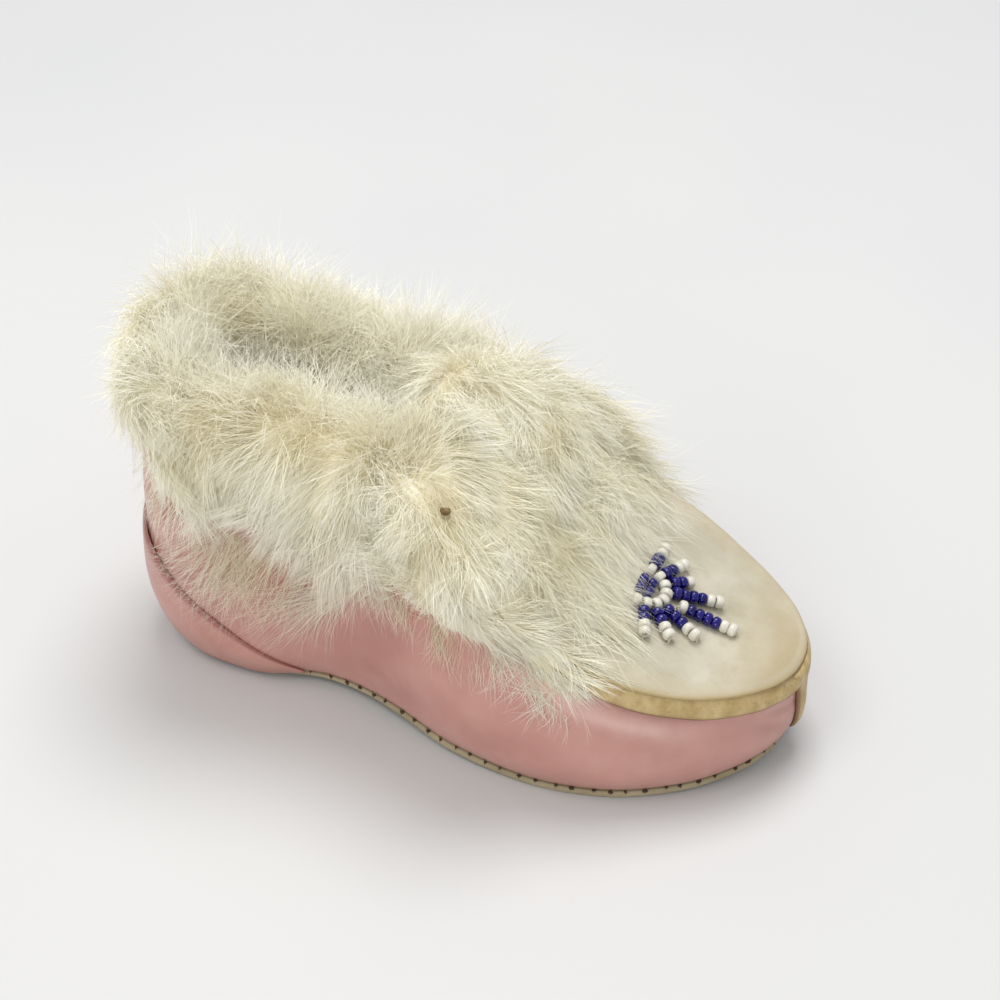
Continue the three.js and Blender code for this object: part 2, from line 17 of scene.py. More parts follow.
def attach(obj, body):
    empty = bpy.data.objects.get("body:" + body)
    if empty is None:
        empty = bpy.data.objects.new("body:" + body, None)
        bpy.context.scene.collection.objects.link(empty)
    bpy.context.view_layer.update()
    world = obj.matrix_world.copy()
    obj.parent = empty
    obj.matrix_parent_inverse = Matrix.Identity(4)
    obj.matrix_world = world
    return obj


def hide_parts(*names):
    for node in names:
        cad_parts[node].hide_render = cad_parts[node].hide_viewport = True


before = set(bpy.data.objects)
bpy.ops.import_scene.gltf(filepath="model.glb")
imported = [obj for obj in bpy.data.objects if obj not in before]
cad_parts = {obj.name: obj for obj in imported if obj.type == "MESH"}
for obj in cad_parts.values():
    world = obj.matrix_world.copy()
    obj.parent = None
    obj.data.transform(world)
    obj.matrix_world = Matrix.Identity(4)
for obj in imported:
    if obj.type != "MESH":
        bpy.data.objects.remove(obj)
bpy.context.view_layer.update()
BODY = "root"
SEED = 20
rng = np.random.default_rng(SEED)

# Driving sizes, the same as the solids'
MM = 0.001
HEEL_REST_X = 20.0
GAP = 0.3
SOLE_THICKNESS = 1.4
SOLE_BEVEL = 0.45
LEATHER = 1.6
FOOT_TURN = 4.0
SUEDE = 1.6
OVERLAY = 1.2
BELLY_RISE = 0.22
BELLY_LIMIT = 40.0
SHOULDER_RISE = 0.72
SHOULDER_PULL = 0.6

# Sections from the back of the heel to the tip of the toe, the same as the solids'
COLUMNS = tuple("x half lift foot edge belly shoulder rim_in rim_z crown hem pile".split())
SECTIONS = {
    "heel_back":  (2.0, 0.0, 1.0, -1.8, -2.3, 5.4, 2.2, 0.2, 52.0, 7.0, 32, 9),
    "heel_turn":  (4.8, 11.4, 0.6, -1.8, -2.3, 5.4, 2.2, 0.4, 52.0, 7.0, 29, 9),
    "heel_side":  (13.0, 17.2, 0.0, -1.8, -2.3, 5.4, 2.2, 1.0, 51.0, 7.0, 25, 9),
    "heel_front": (26.0, 18.4, 0.0, -1.7, -2.2, 4.8, 2.2, 2.0, 49.5, 7.0, 19, 9),
    "waist_back": (38.0, 17.0, 1.1, -1.2, -1.0, 4.2, 2.2, 3.0, 48.0, 7.0, 19, 9),
    "waist":      (50.0, 19.6, 1.9, -0.8, -0.5, 4.0, 2.5, 4.0, 45.0, 7.0, 28, 9),
    "joint":      (64.0, 24.4, 0.9, -0.8, -0.5, 4.0, 4.0, 4.2, 37.0, 4.5, 26, 10),
    "ball":       (79.0, 26.2, 0.0, -0.8, -0.5, 4.0, 4.5, 2.7, 28.0, 2.2, 24, 7),
    "tread":      (92.0, 24.2, 0.0, -0.8, -0.5, 3.4, 3.0, 0.9, 22.0, 1.2, 20, 3),
    "toe_side":   (103.0, 18.8, 0.3, -0.8, -0.5, 2.9, 1.6, 0.0, 18.3, 0.9, 17, 3),
    "toe_turn":   (110.7, 12.2, 1.0, -0.8, -0.5, 2.6, 0.5, -0.7, 16.8, 0.5, 15, 3),
    "toe_front":  (114.9, 6.0, 1.8, -0.8, -0.5, 2.4, 0.0, -1.0, 16.1, 0.2, 15, 3),
    "toe_tip":    (116.2, 0.0, 2.1, -0.8, -0.5, 2.4, 0.0, -1.0, 15.9, 0.0, 15, 3),
}
TOE_TIP = list(SECTIONS).index("toe_tip")
WAIST = list(SECTIONS).index("waist")
STATION_LENGTH = 11.0    # mean distance between two sections along the outline
STATION_REACH = 0.01     # distance in stations over which the outline's direction is taken
BISECTIONS = 24
OUTLINE_POINTS = 2000

# Smooth unevenness from a hash of grid corners
NOISE_SHIFT = 17.3
NOISE_KEYS = np.array([7385, 19349, 8349])
NOISE_SEED_KEY = 7919
NOISE_WAVE = 12.9898
NOISE_SPREAD = 43758.5453
# Unevenness of the faces: rise, size and seed
UPPER_UNEVEN = (0.10, 5, 1)
COUNTER_UNEVEN = (0.12, 6, 2)
STRIP_UNEVEN = (0.08, 3, 3)
BINDING_UNEVEN = (0.10, 4, 4)
APRON_LUMPS = ((0.36, 8, 5), (0.2, 3.4, 6))
APRON_NAP = (0.06, 1.6, 19)
LIP_UNEVEN = (0.08, 3, 32)
SOLE_UNEVEN = (0.07, 4, 7)
BURR_UNEVEN = (0.35, 0.6, 11)
MOUNDS = (2.4, 12.0, 8)
LOCK_WANDER = (1.8, 9, 9)
HEM_UNEVEN = (0.15, 6, 31)
COMB_UNEVEN = (0.06, 7, 30)
STAIN_PATCHES = (1, 13, 10)

# Creases of the upper: from station and height to station and height, half width, and depth as a trough
# (below zero) or ridge
CREASES = (
    (4.3, 7.0, 5.2, 24.0, 5.0, -0.9),
    (5.0, 5.0, 5.9, 13.0, 3.0, -0.5),
    (5.6, 27.0, 7.6, 20.0, 3.2, 0.5),
    (7.6, 19.5, 9.2, 14.0, 2.4, 0.4),
    (6.4, 9.0, 7.4, 12.0, 3.5, -0.35),
    (10.2, 12.5, 11.2, 8.0, 1.4, -0.45),
    (10.6, 14.0, 11.6, 11.5, 0.9, -0.3),
    (1.0, 26.0, 2.2, 20.0, 2.5, -0.5),
    (-4.4, 7.0, -5.3, 22.0, 4.5, -0.8),
    (-5.8, 25.0, -7.8, 19.0, 3.0, 0.5),
    (-6.6, 8.0, -7.8, 12.0, 3.0, -0.4),
    (-10.3, 12.0, -11.3, 8.5, 1.4, -0.4),
    (-1.2, 24.0, -2.4, 17.0, 2.5, -0.5),
)
CREASE_ENDS = (0.15, 0.85)       # parts of half a wave between which a crease runs
CREASE_FREE = (0.12, 0.1)        # parts of the wall over which creases fade to the foot and the top edge
# Painted shade in the troughs of the creases: the deepest trough that counts, and its strength
CREASE_SHADE_LIMIT = 0.6
CREASE_SHADE_STRENGTH = 0.5
UPPER_STATIONS = 312
UPPER_LEVELS = 44
LINING_LEVELS = 16
WORN_HIGHLIGHT_DROP = 2.8          # from the upper's top edge down to the pale band beside the toes: worn leather with a painted highlight
WORN_HIGHLIGHT_WIDTH = 2.0
WORN_HIGHLIGHT_STATIONS = ((6.3, 7.2), (9.6, 8.4))

# Heel counter
COUNTER_END_X = 34.0
COUNTER_FALL = 0.76
COUNTER_LOW_Z = 0.9
COUNTER_END = 3.62
COUNTER_STATIONS = 120
COUNTER_LEVELS = 30
COUNTER_CROWDING = 1.6   # power by which its levels crowd to the top edge
COUNTER_ROLL = 0.86      # part of the height at which the top edge begins to roll in
COUNTER_THINNING = (0.55, (0.55, 0.95))  # how much thinner it gets, and between which parts of the height
COUNTER_RUN_OUT = 0.9    # stations over which the front ends thin out
COUNTER_END_THIN = 0.7
# Below the wall's foot: parts of the way up to it, and shares of the thickness there
COUNTER_FOOT = ((0.0, 0.35, 0.7), (0.75, 0.95, 1.0))
COUNTER_SEAM = (0.9, 0.98)
COUNTER_CREASED = 0.5    # share of the wall's creases that show on it
COUNTER_SMOOTH = (0, 0.2)
COUNTER_CLOSING = (0.8, (0.8, 1.0))      # how far its inner face closes the gap at the top edge

# Trim
BINDING_SECTION = ((0.2, 0.3), (0.6, 1.7), (0.1, 3.2), (-0.5, 3.9), (-1.2, 3.7), (-1.2, 2.1), (-0.9, 0.3))
BINDING_FACE = ((0.7, -0.15), (0.95, 1.3))     # its rolled outer face, a little fuller than the solid's
BINDING_MIDDLE = (-0.4, 2.1)
BINDING_END = 5.6
BINDING_STATIONS = 190
BINDING_SIDES = 28
FOOT_SEAM = (0.0, 0.6)   # heights or outsets between which its seams darken
BACK_SEAM = (-0.2, -0.6)
# Painted seam shadow on top of the binding near the toe, where the suede's lip meets it: strength and heights
TOP_SEAM_SHADOW = (0.55, (2.5, 3.3))
TOE_WEAR = 1.8           # stations from the toe over which the binding is worn
LEAST_WEAR = 0.25
STRIP_HALF = 2.6
STRIP_FOOT = 0.30
STRIP_LOW = 0.06
STRIP_LEVELS = 30
STRIP_PLACES = 17
# Where the strip lies on the binding: height above the upper's top edge, outset, half width and share of its
# thickness
STRIP_TOP = ((0.8, 0.50, 2.8, 0.8), (1.7, 0.62, 3.3, 0.55), (2.5, 0.46, 3.9, 0.3), (3.1, 0.16, 4.4, 0.1))
STRIP_RISE = 0.62        # height of the strip over its ground, as a part of the overlay
STRIP_SUNK = 0.1         # height of its hidden face over the ground
STRIP_ON_ROLL = 0.05     # and over the binding
STRIP_WEAR = 0.8
STRIP_SEAM = (0.7, 1)
STRIP_SEAM_TOP = (1.0, 0.8)
APRON_INSET = 1.5
THROAT_INSET = 2.7
THROAT_X = (52.0, 58.0)
APRON_RISE = 3.5
APRON_STATIONS = 96
APRON_PLACES = 49
# The lip that rolls over the binding: outset from the upper's top edge, height above it and painted shade,
# deepest under the roll
APRON_LIP = (
    (-0.95, 4.38, 0.35),
    (-0.4, 4.17, 0.5),
    (-0.05, 3.95, 0.9),
    (0.1, 3.72, 1.0),
    (0.0, 3.6, 1.0),
    (-0.45, 3.99, 1.0),
    (-1.3, 3.8, 1.0),
)
LIP_RISE = 1.0
LIP_HIDDEN = 0.1         # how much of the lip there is under the fur
LIP_START = (5.7, 6.4)
LIP_TOE = (7.5, 10.8)    # stations from which the whole of the suede swells
LUMP_EDGE = (1.0, 0.45)  # where its lumps set in, across it and behind the toe
LUMP_TOE = (11.8, 9.8)
# Painted shade on the suede towards its rolled edges and towards the toe: strength, and where it sets in
EDGE_SHADE = (0.25, (0.75, 1.0))
TOE_SHADE = (0.6, (8.6, 11.4))

# Sole and its stitches
SOLE_STATIONS = 150
SOLE_PLACES = 15
SOLE_ROUND = 0.35        # radius of its upper edge
SOLE_FACE = ((0.05, 0.5), (0.0, 0.68))   # its raw edge: outset, and height as a part of the thickness
SOLE_WAIST = (4.2, 0.9)  # station and width of the thin waist
SOLE_WAIST_THIN = 0.4
STITCH_PITCH = 3.1
STITCH_START = 3.35
STITCH_JITTER = 0.05     # stations by which a stitch may be out of step
STITCH_RADII = (0.38, 0.22, 0.25)
STITCH_SIZES = 0.4
STITCH_OUT = -0.12
STITCH_UP = (0.05, 0.15)
STITCH_WEDGE = 0.45      # how much narrower a hole is at its top
STITCH_SLANT = 0.6
STITCH_THREAD = (-0.3, 0.8)      # from below a hole to above it
STITCH_TILT = 0.5
STITCH_BOW = (0.25, 2.2, 0.05)   # depth, wave and outset of a thread's bow
STITCH_THREAD_RADIUS = 0.08
THREAD_SIDES = 6
THREAD_POINTS = 6
TUBE_SIDE = (0.31, 0.17, 0.94)   # a direction that no thread has

# Glass beads: rays of the rosette with angle, start and colours, then its ring and middle
BEAD_RADIUS = 1.0
BEAD_PITCH = 1.45
ROSETTE = np.array([89.2, -2.0])
ROSETTE_RAYS = (
    (-70, 5.7, "bbww"),
    (-46, 5.7, "bbww"),
    (-23, 5.8, "bbbww"),
    (0, 7.2, "wbbbbww"),
    (22, 5.8, "bbbbww"),
    (43, 6.0, "bbw"),
    (64, 5.8, "bbww"),
    (86, 5.7, "bbww"),
)
RING_RADIUS = 4.0
RING_BEADS = 8
RING_STEP = 25
CENTRE_ROWS = (-0.2, 1.3)
CENTRE_SIDE = 1.1
BEAD_SIDES = 16
BEAD_PROFILE_POINTS = 14
BEAD_HALF_PROFILE = ((-0.60, 0.42), (-0.56, 0.72), (-0.40, 0.93))
BEAD_PROFILE = (
    *BEAD_HALF_PROFILE,
    (0.0, 1.0),
    *((-along, out) for along, out in BEAD_HALF_PROFILE[::-1]),
    (0.0, 0.36),
)
BEAD_STRETCH = 1.17
BEAD_SIZE = 1.1
BEAD_SIZES = 0.05
BEAD_TILT = 0.09
BEAD_FLATTENED = 0.5     # how much of a tilt out of the suede is taken back
BEAD_RISE = 1.05         # from the suede to the middle of a bead
THREAD_RADIUS = 0.17
# Where a thread leaves a row and enters the suede: along the row and down
THREAD_ENDS = ((0.72, 0.5), (0.9, 1.5))

# Fur: the dense undercoat of the cuff, as outset from the wall and height as a part of the crest or hang
FUR_CREST = 13.0
CUFF_END = 4.95
UNDERCOAT_SECTION = np.array([
    (0.6, -0.44),
    (2.2, -0.37),
    (4.2, -0.18),
    (5.2, 0.06),
    (4.8, 0.36),
    (3.0, 0.56),
    (0.6, 0.64),
    (-2.6, 0.54),
    (-5.4, 0.30),
    (-5.8, -0.02),
])
HEEL_THINNING = 0.45     # how much thinner the undercoat is at the back of the heel
HEEL_RISE = 0.3          # how much higher its crest is there
HEEL_STATIONS = (0.5, 1.8)
# Where leather shows through the fur of the right side: station, width and strength
BARE_PLACES = ((1.0, 0.35, 1.0), (4.05, 0.17, 0.6))
BARE_HEM = 0.55          # how much shorter the undercoat is there
TUFT_STATION = 4.4       # where the cuff hangs lower, beside the instep
TUFT_WIDTH = 0.45
TUFT_HEM = 0.6
HEM_RAISED = 0.30        # how much shorter the undercoat is on the right of the heel
HEM_RAISED_STATIONS = ((0.2, 0.8), (TUFT_STATION - 0.4, TUFT_STATION - 1.1))
CUFF_GIRTH = 37.0        # length of the undercoat's section
CUFF_ROUND = 0.3         # stations over which the cuff's ends are rounded
CUFF_END_SIZE = 0.35
CUFF_CORE = (0.6, 0.2)   # middle towards which its ends shrink
CUFF_LEAN = (0.5, 1.5, 0.6)      # lean of the locks, stations over which it sets in, and part of the girth
CUFF_GRID = (330, 90)    # places along and across the undercoats
PAD_GRID = (150, 170)
PAD_LINING_PLACES = 40
PAD_BACK = 5.02
PAD_FRONT = 7.4
PAD_AXIS = 0.5
PAD_DEPTH = 0.80         # depth of the pad's undercoat as a part of the pile
PAD_SIDE_DEPTHS = (0.2, 0.6, 0.85, 0.95, 1, 1)
PAD_SIDE_LEVELS = 4
PAD_ACROSS = (-1, -0.7, -0.35, 0, 0.35, 0.7, 1)
PAD_TAPER = ((PAD_BACK, PAD_BACK + 0.12, PAD_BACK + 0.4, 6.4, 7.0, PAD_FRONT), (0.4, 0.75, 1, 1, 0.5, 0.1))
PAD_GIRTH = 78.0
PAD_LEAN = 0.7
PAD_HEM_RISE = 4.0       # from the solid's hem to the undercoat's, where hair hangs below
PAD_STATION = 14.7       # length of a station over the instep
# Locks of the undercoat, coarse to fine: width, length and height
LOCKS = ((3.6, 17.0, 0.6), (1.6, 12.0, 0.35), (0.7, 8.0, 0.2))
LOCK_SEED = 20
LOCK_LEVEL = 0.8         # height of a ridge that lies level with the undercoat
FURROW_SHADE_TINT = 0.1        # place between root and tip colour in the furrows, as painted shade, and how much nearer the tip's the ridges are, as painted light, by the height of the locks
RIDGE_LIGHT_TINT = (0.4, (-0.8, 0.8))  # the ridges are, by the height of the locks
CUFF_LINING = (0.95, 0, 8)       # parts of the wall from its top edge to the hem, and their number
UNDERCOAT_EDGE = (0.1, 0.5)      # parts across and stations along over which mounds and locks set in

# Lie of the cuff's hairs by the place across it, from 0 at the hem to 1 inside: along the section, outwards,
# length and looseness. The lean towards the heel goes by station.
CUFF_ALONG = ((0, 0.4, 0.52, 0.62, 0.74, 0.85, 1), (-1.0, -0.95, -0.7, -0.3, 0.1, 0.1, 0.0))
CUFF_OUTWARDS = ((0, 0.2, 0.4, 0.55, 0.66, 0.8, 1), (0.12, 0.2, 0.35, 0.7, 0.9, 0.8, 0.9))
CUFF_LENGTHS = ((0, 0.15, 0.4, 0.55, 0.66, 0.8, 1), (7, 9.5, 9.5, 9.5, 11, 13, 16))
CUFF_FLUFF = ((0, 0.4, 0.52, 0.7, 1), (0.15, 0.2, 0.42, 0.42, 0.35))
CUFF_BACK = ((0, 1.5, 3, 4.4, CUFF_END), (0, 0.2, 0.4, 0.6, -0.3))
CUFF_FULLNESS = ((0, 0.15, 0.3, 0.55, 0.75, 1), (1.4, 1.2, 1, 1.2, 1.8, 2.8))
CUFF_END_FULLNESS = (2.2, (0.4, 0))
# Parts across the cuff, as the places between which each sets in or ends
CUFF_OUTSIDE = (0.64, 0.4)
CUFF_ABOVE_HEM = (0.15, 0.3)
CUFF_RAGGED = (0.05, 0.3)
CUFF_LOW = (0.55, 0.35)
CUFF_LEANING = (0.7, 0.5)
CUFF_CREST = ((0.5, 0.62), (0.8, 0.7))
INSIDE_LIFT = (0.3, (0.75, 0.9))
NEAR_CREST = ((0.5, 0.6), (0.85, 0.7))   # on the right side, from these stations on
NEAR_STATIONS = (1.0, 2.0)
NEAR_LIFT = 0.3
NEAR_LONGER = 0.3
HEEL_REACH = (0.8, 2.0)
HEEL_FLATTER = 0.4
HEEL_SHORTER = 0.45
HEEL_CREST_LONGER = 0.2
TUFT_LONGER = 0.5
BARE_SHORTER = 0.45
# Lie of the instep pad's hairs by station, or by the place across it: -1 at the right hem, 1 at the left
PAD_FORWARD = ((PAD_BACK, 5.25, 5.7, 6.3, PAD_FRONT), (-1.0, -0.4, 0.5, 0.9, 1.0))
PAD_DOWN = ((-1, -0.6, -0.3, 0, 0.3, 0.6, 1), (-0.7, -0.5, -0.15, 0, 0.15, 0.3, 0.4))
PAD_OUTWARDS = ((PAD_BACK, 5.5, 6.2, PAD_FRONT), (0.5, 0.4, 0.25, 0.14))
PAD_LENGTHS = ((PAD_BACK, 5.3, 6.2, 6.9, PAD_FRONT), (10, 10.5, 10, 10, 12))
PAD_LONGER = ((-1, -0.7, 0, 0.5, 0.8, 1), (0.6, 0.9, 1, 1.35, 1.45, 1.0))
PAD_FLUFF = 0.2
PAD_SIDE_FLATTER = 0.5
PAD_RAGGED = (0.1, 0.3)
PAD_FAR_RISE = (0.5, (0.35, 0.75))       # how far the hairs of the left side stand off, and where
PAD_BACK_FULLNESS = (2, (0.35, 0))
PAD_FRONT_FULLNESS = (1.5, (0.6, 0.1))

# Hairs
HAIR_TIMES = np.array([0.0, 0.55, 1.0])
HAIR_WIDTHS = np.array([0.9, 1.0])
HAIR_RADIUS = 0.045
HAIR_RADII = (0.7, 1.25)
FRINGE_RADIUS = 0.028
HAIR_SIDES = 3
CUFF_HAIRS = 37000
PAD_HAIRS = 21500
CUFF_UNDERFUR = 5000     # short hairs between the long ones
PAD_UNDERFUR = 4000
UNDERFUR_LENGTH = 5.0
UNDERFUR_LENGTHS = (0.7, 1.3)
UNDERFUR_FLUFF = 0.15
BACK_STATION = 2.0       # within it hairs belong to the back
WISP_HAIRS = 10          # hairs in a wisp
LOCK_HAIRS = 110         # hairs in a lock
FLYAWAY_SHARE = 0.06     # hairs that stand off from the rest
FLYAWAY_TURN = 0.4
FLYAWAY_RISE = 0.3
SWIRL_SIZE = 13.0        # distance over which the lie of the hair changes
SWIRL_SEED = 12
SWIRL_TURN = 0.95
LOCK_TURN = 0.38
WISP_TURN = 0.22
FLATTENED = (0.3, 0.7)   # how much of a turn out of the coat is taken back, for flyaways and the rest
LEAST_RISE = 0.08
LOCK_LENGTHS = (0.8, 1.15)
HAIR_LENGTHS = (0.7, 1.1)
RAGGED_LENGTHS = (-0.45, 0.8)
WISP_CURL = 0.12
LOCK_CURL = 0.10
FLUFF_CURL = 0.4
SETTLING = 0.45          # how far a hair bends back to the coat
SAG = np.array([0, 0, -0.10])
FLYAWAY_HOLD = 0.1       # how far hairs are drawn to the middle of their wisp, and then of their lock
WISP_HOLD = 0.5
WISP_HOLD_RAGGED = 0.3
WISP_HOLDS = (0.4, 1.2)
LOCK_HOLDS = (0.05, 0.2)
LOCK_HOLD_RAGGED = 1.6
WISP_GATHER = 1.2        # powers by which they draw together towards their tips
LOCK_GATHER = 1.5
HAIR_CLEARANCE = 0.35
BODY_DEPTH = 6           # within it a hair point is taken to lie in the leather
BODY_ASIDE = 1.5         # if it is this near to a sample of the leather's face
BODY_END = 9             # station at which the samples end
SUEDE_WAY = (0.35, 0, 0.94)
LEATHER_SAMPLES = (260, 40)      # along and across the leather, the binding and the suede
ROLL_SAMPLES = (60, 14)
SUEDE_SAMPLES = (60, 41)
SIDE_REACH = 41.5        # beyond it the hairs of the left side bend back
SIDE_BEND = 0.6
TOP_REACH = 74.0         # above it all hairs bend down
TOP_BEND = 0.65

# Fringe below the cuff: hairs, first and last station, lean towards the heel in radians, greatest length,
# and how far below the undercoat the hairs start, under the others
FRINGES = (
    (380, 2.6, 3.95, 0.45, 29, 8),
    (280, 4.3, 4.75, 0.85, 24, 6),
    (130, 1.4, 2.6, 0.35, 17, 6),
    (420, -4.9, 0.8, 0.35, 15, 2),
)
FRINGE_BUNCH = 10        # hairs in a bunch of the fringe
FRINGE_SPREAD = 0.07     # width of a bunch in stations
FRINGE_ROOTS = 3         # height over which the roots are spread
FRINGE_LEAN_SPREAD = 0.2
FRINGE_STAND = (0.1, 1.4)
FRINGE_BEND = (-0.3, 0.3)
FRINGE_LOWEST = 3        # above the lift of the sole
BUNCH_LENGTHS = (0.6, 1.0)
FRINGE_LENGTHS = (0.55, 1.0)
STRAY_ANGLE = 0.12
STRAY_BEND = 0.1
PAD_FRINGE_HAIRS = 800
PAD_FRINGE_STATIONS = (4.9, 7.5)
PAD_FRINGE_RIGHT = 0.7   # share of them on the right side
PAD_FRINGE_ROOTS = 4
PAD_FRINGE_LEAN = (-0.1, 0.5)
PAD_FRINGE_LENGTHS = (3, 8)
VEIL_HAIRS = 950         # fine hairs over the first beads
VEIL_X = (72.0, 81.0)
VEIL_Y = (-16.0, 19.0)
VEIL_ANGLE = (-0.3, 0.3)
VEIL_BEND = 0.3
VEIL_LENGTHS = (8, 16)
VEIL_HEIGHT = (2.6, 4.0)

# A small burr caught in the fur
BURR_PLACE = np.array([63.0, -21.7, 51.2])
BURR_SIZE = (0.9, 0.6, 0.6)
BURR_OUTWARDS = np.array([0.30, -0.70, 0.65])
BURR_PARTING = 0.9       # radius in which no hair lies over the burr
BURR_DEPTH = 0.5
BURR_STEPS = 9           # places along half a hair that are looked at
BURR_SIDES = (12, 8)

# Colours of the hairs. Yellowed patches, partly painted shade in the hollows: middle, radius and strength
ROOT_COLOUR = np.array([0.88, 0.82, 0.62])
TIP_COLOUR = np.array([0.96, 0.945, 0.84])
TIP_START = 0.75
STAIN_AND_SHADE_COLOUR = np.array([0.74, 0.65, 0.38])
STAIN_AND_SHADE_AT_TIP = 0.6
UNDERCOAT_SHADE = 0.9    # share of light left between the hairs
HAIR_SHADES = (0.92, 1.05)
THIN_COLOUR = np.array([0.94, 0.94, 0.92])   # share of light left where the fur thins out over the apron
THIN_X = (62, 82)
LOW_COLOUR = np.array([0.88, 0.83, 0.79])    # and where it hangs low over the leather
LOW_Z = (44.0, 26.0)
PATCH_STRENGTH = (0.42, (0.1, 0.8))
FUR_STAINS_AND_HOLLOW_SHADE = (
    (13.0, 6.0, 58.0, 6.0, 0.8),
    (26.0, 7.0, 56.0, 6.0, 0.45),
    (33.0, -16.0, 61.0, 6.0, 0.7),
    (23.0, -23.0, 57.0, 7.0, 0.7),
    (20.0, -25.0, 49.0, 6.0, 0.6),
    (39.0, -20.0, 57.0, 7.0, 0.8),
    (46.0, -16.0, 59.0, 5.0, 0.7),
    (71.0, 1.0, 49.0, 4.0, 0.7),
    (64.0, -23.0, 53.0, 5.0, 0.9),
    (62.0, -25.0, 46.0, 6.0, 0.7),
    (72.0, 6.0, 48.0, 5.0, 0.5),
    (54.0, 4.0, 63.0, 6.0, 0.4),
)

# Colours of the materials, as a dark and a light tone or as one that is mixed in
PINK_TONES = ((0.465, 0.215, 0.173), (0.55, 0.276, 0.235))
PINK_FADED = (0.61, 0.35, 0.297)
PINK_STAINED = (0.40, 0.19, 0.135)
# Pale band beside the toes: worn leather with a painted highlight
PINK_RUBBED_HIGHLIGHT = (0.70, 0.46, 0.40)
# Painted shade in the crease troughs, also the dark seam line along the heel counter's top
PINK_CREASE_SHADE_AND_SEAM = (0.30, 0.10, 0.08)
SUEDE_TONES = ((0.46, 0.42, 0.31), (0.59, 0.55, 0.44))
SUEDE_SOILED = (0.42, 0.36, 0.25)
# Painted shade at the suede's rolled edges, under its lip and at the toe
SUEDE_EDGE_SHADE = (0.42, 0.31, 0.13)
BINDING_TONES = ((0.40, 0.27, 0.095), (0.62, 0.48, 0.24))
BINDING_SPECKS = (0.20, 0.11, 0.04)
# Dark seams, and painted seam shadow on top of the binding near the toe
BINDING_SEAM_AND_SHADOW = (0.17, 0.075, 0.035)
SOLE_TONES = ((0.31, 0.25, 0.15), (0.42, 0.35, 0.225))
SOLE_DIRT = (0.33, 0.26, 0.17)
LINING_TONES = ((0.60, 0.51, 0.36), (0.70, 0.61, 0.45))
# Dark thread, also used as painted shade in the stitch holes
STITCH_AND_HOLE_SHADE_TONES = ((0.035, 0.02, 0.012), (0.10, 0.055, 0.03))
THREAD_TONES = ((0.58, 0.50, 0.34), (0.72, 0.66, 0.5))
BLUE_TONES = ((0.003, 0.0015, 0.075), (0.008, 0.004, 0.18))
WHITE_TONES = ((0.62, 0.59, 0.50), (0.74, 0.72, 0.64))
BURR_TONES = ((0.10, 0.06, 0.025), (0.28, 0.19, 0.09))
FLOOR_TONES = ((0.64, 0.645, 0.65), (0.67, 0.67, 0.67))

# Camera and stage. Lights: name, place and size in metres, and power
CAMERA_AZIMUTH = 20.873
CAMERA_ELEVATION = 38.705
CAMERA_DISTANCE = 367.345
CAMERA_TARGET = (55.942, 20.337, 20.0)
CAMERA_NEAR = 0.01
FOCAL_PIXELS = 2040
FRAME_PIXELS = 1000
SENSOR = 36.0
FLOOR_HALF = 1.6
FLOOR_CORNERS = ((-1, -1), (1, -1), (1, 1), (-1, 1))
SKY_COLOUR = (0.96, 0.98, 1.0, 1)
SKY_STRENGTH = 0.58
LIGHT_COLOUR = (1.0, 0.98, 0.95)
LIGHT_AIM = Vector((0.035, 0, 0.02))
LIGHTS = (
    ("key", (0.0, 0.22, 0.77), 0.4, 3.8),
    ("softbox", (-0.13, -0.24, 0.54), 0.3, 0.8),
    ("front", (0.11, -0.75, 0.16), 0.35, 1.25),
)


# Shape functions
def loop_table():
    rows = np.array(list(SECTIONS.values()), float)
    half = rows[:, 1:2]
    right = np.hstack([rows, -half])
    left = np.hstack([rows, half])[-2:0:-1]
    return np.vstack([right, left])


LOOP = loop_table()
LOOP_NAMES = COLUMNS + ("y",)


def unit(vectors):
    return vectors / np.maximum(1e-9, np.linalg.norm(vectors, axis=-1, keepdims=True))


def smooth(low, high, value):
    t = np.clip((value - low) / (high - low), 0, 1)
    return t * t * (3 - 2 * t)


def partly(amount, limits, value):
    """An amount that sets in smoothly between two limits of a value."""
    return amount * smooth(*limits, value)


def band(start, end, value):
    """1 in a band of values, which sets in and ends smoothly between the limits given for each."""
    return smooth(*start, value) * smooth(*end, value)


def hump(value, middle, width):
    """A round hump that is 1 in its middle and fades to 0."""
    return np.exp(-(((value - middle) / width) ** 2))


def vectors_of(*columns):
    """Points or directions from their coordinates."""
    return np.stack(np.broadcast_arrays(*columns), axis=-1)


def noise(points, size, seed):
    """Smooth unevenness between -1 and 1, with features of the given size in millimetres."""
    grid = points / size + NOISE_SHIFT * seed
    cell = np.floor(grid).astype(np.int64)
    part = grid - cell
    part = part * part * (3 - 2 * part)
    total = np.zeros(points.shape[:-1])
    for corner in np.ndindex(2, 2, 2):
        key = (cell + corner) @ NOISE_KEYS + NOISE_SEED_KEY * seed
        value = np.sin(key * NOISE_WAVE) * NOISE_SPREAD
        weight = np.where(np.array(corner) == 1, part, 1 - part).prod(axis=-1)
        total += weight * (value - np.floor(value))
    return 2 * total - 1


def uneven(points, rise, size, seed):
    return rise * noise(points, size, seed)


def spline(before, here, ahead, after, t):
    """A smooth curve from one point (t = 0) to the next, led by those before and after."""
    leave = (ahead - before) / 2
    arrive = (after - here) / 2
    blend = t * t * (3 - 2 * t)
    return here + (ahead - here) * blend + leave * (t - 2 * t**2 + t**3) + arrive * (t**3 - t**2)


def open_spline(points, s):
    """A smooth curve through points, at places counted in points. The first and last only give direction."""
    points = np.asarray(points, float)
    first = np.clip(np.floor(s).astype(int), 1, len(points) - 3)
    return spline(*(points[first + step] for step in (-1, 0, 1, 2)), (s - first)[..., None])


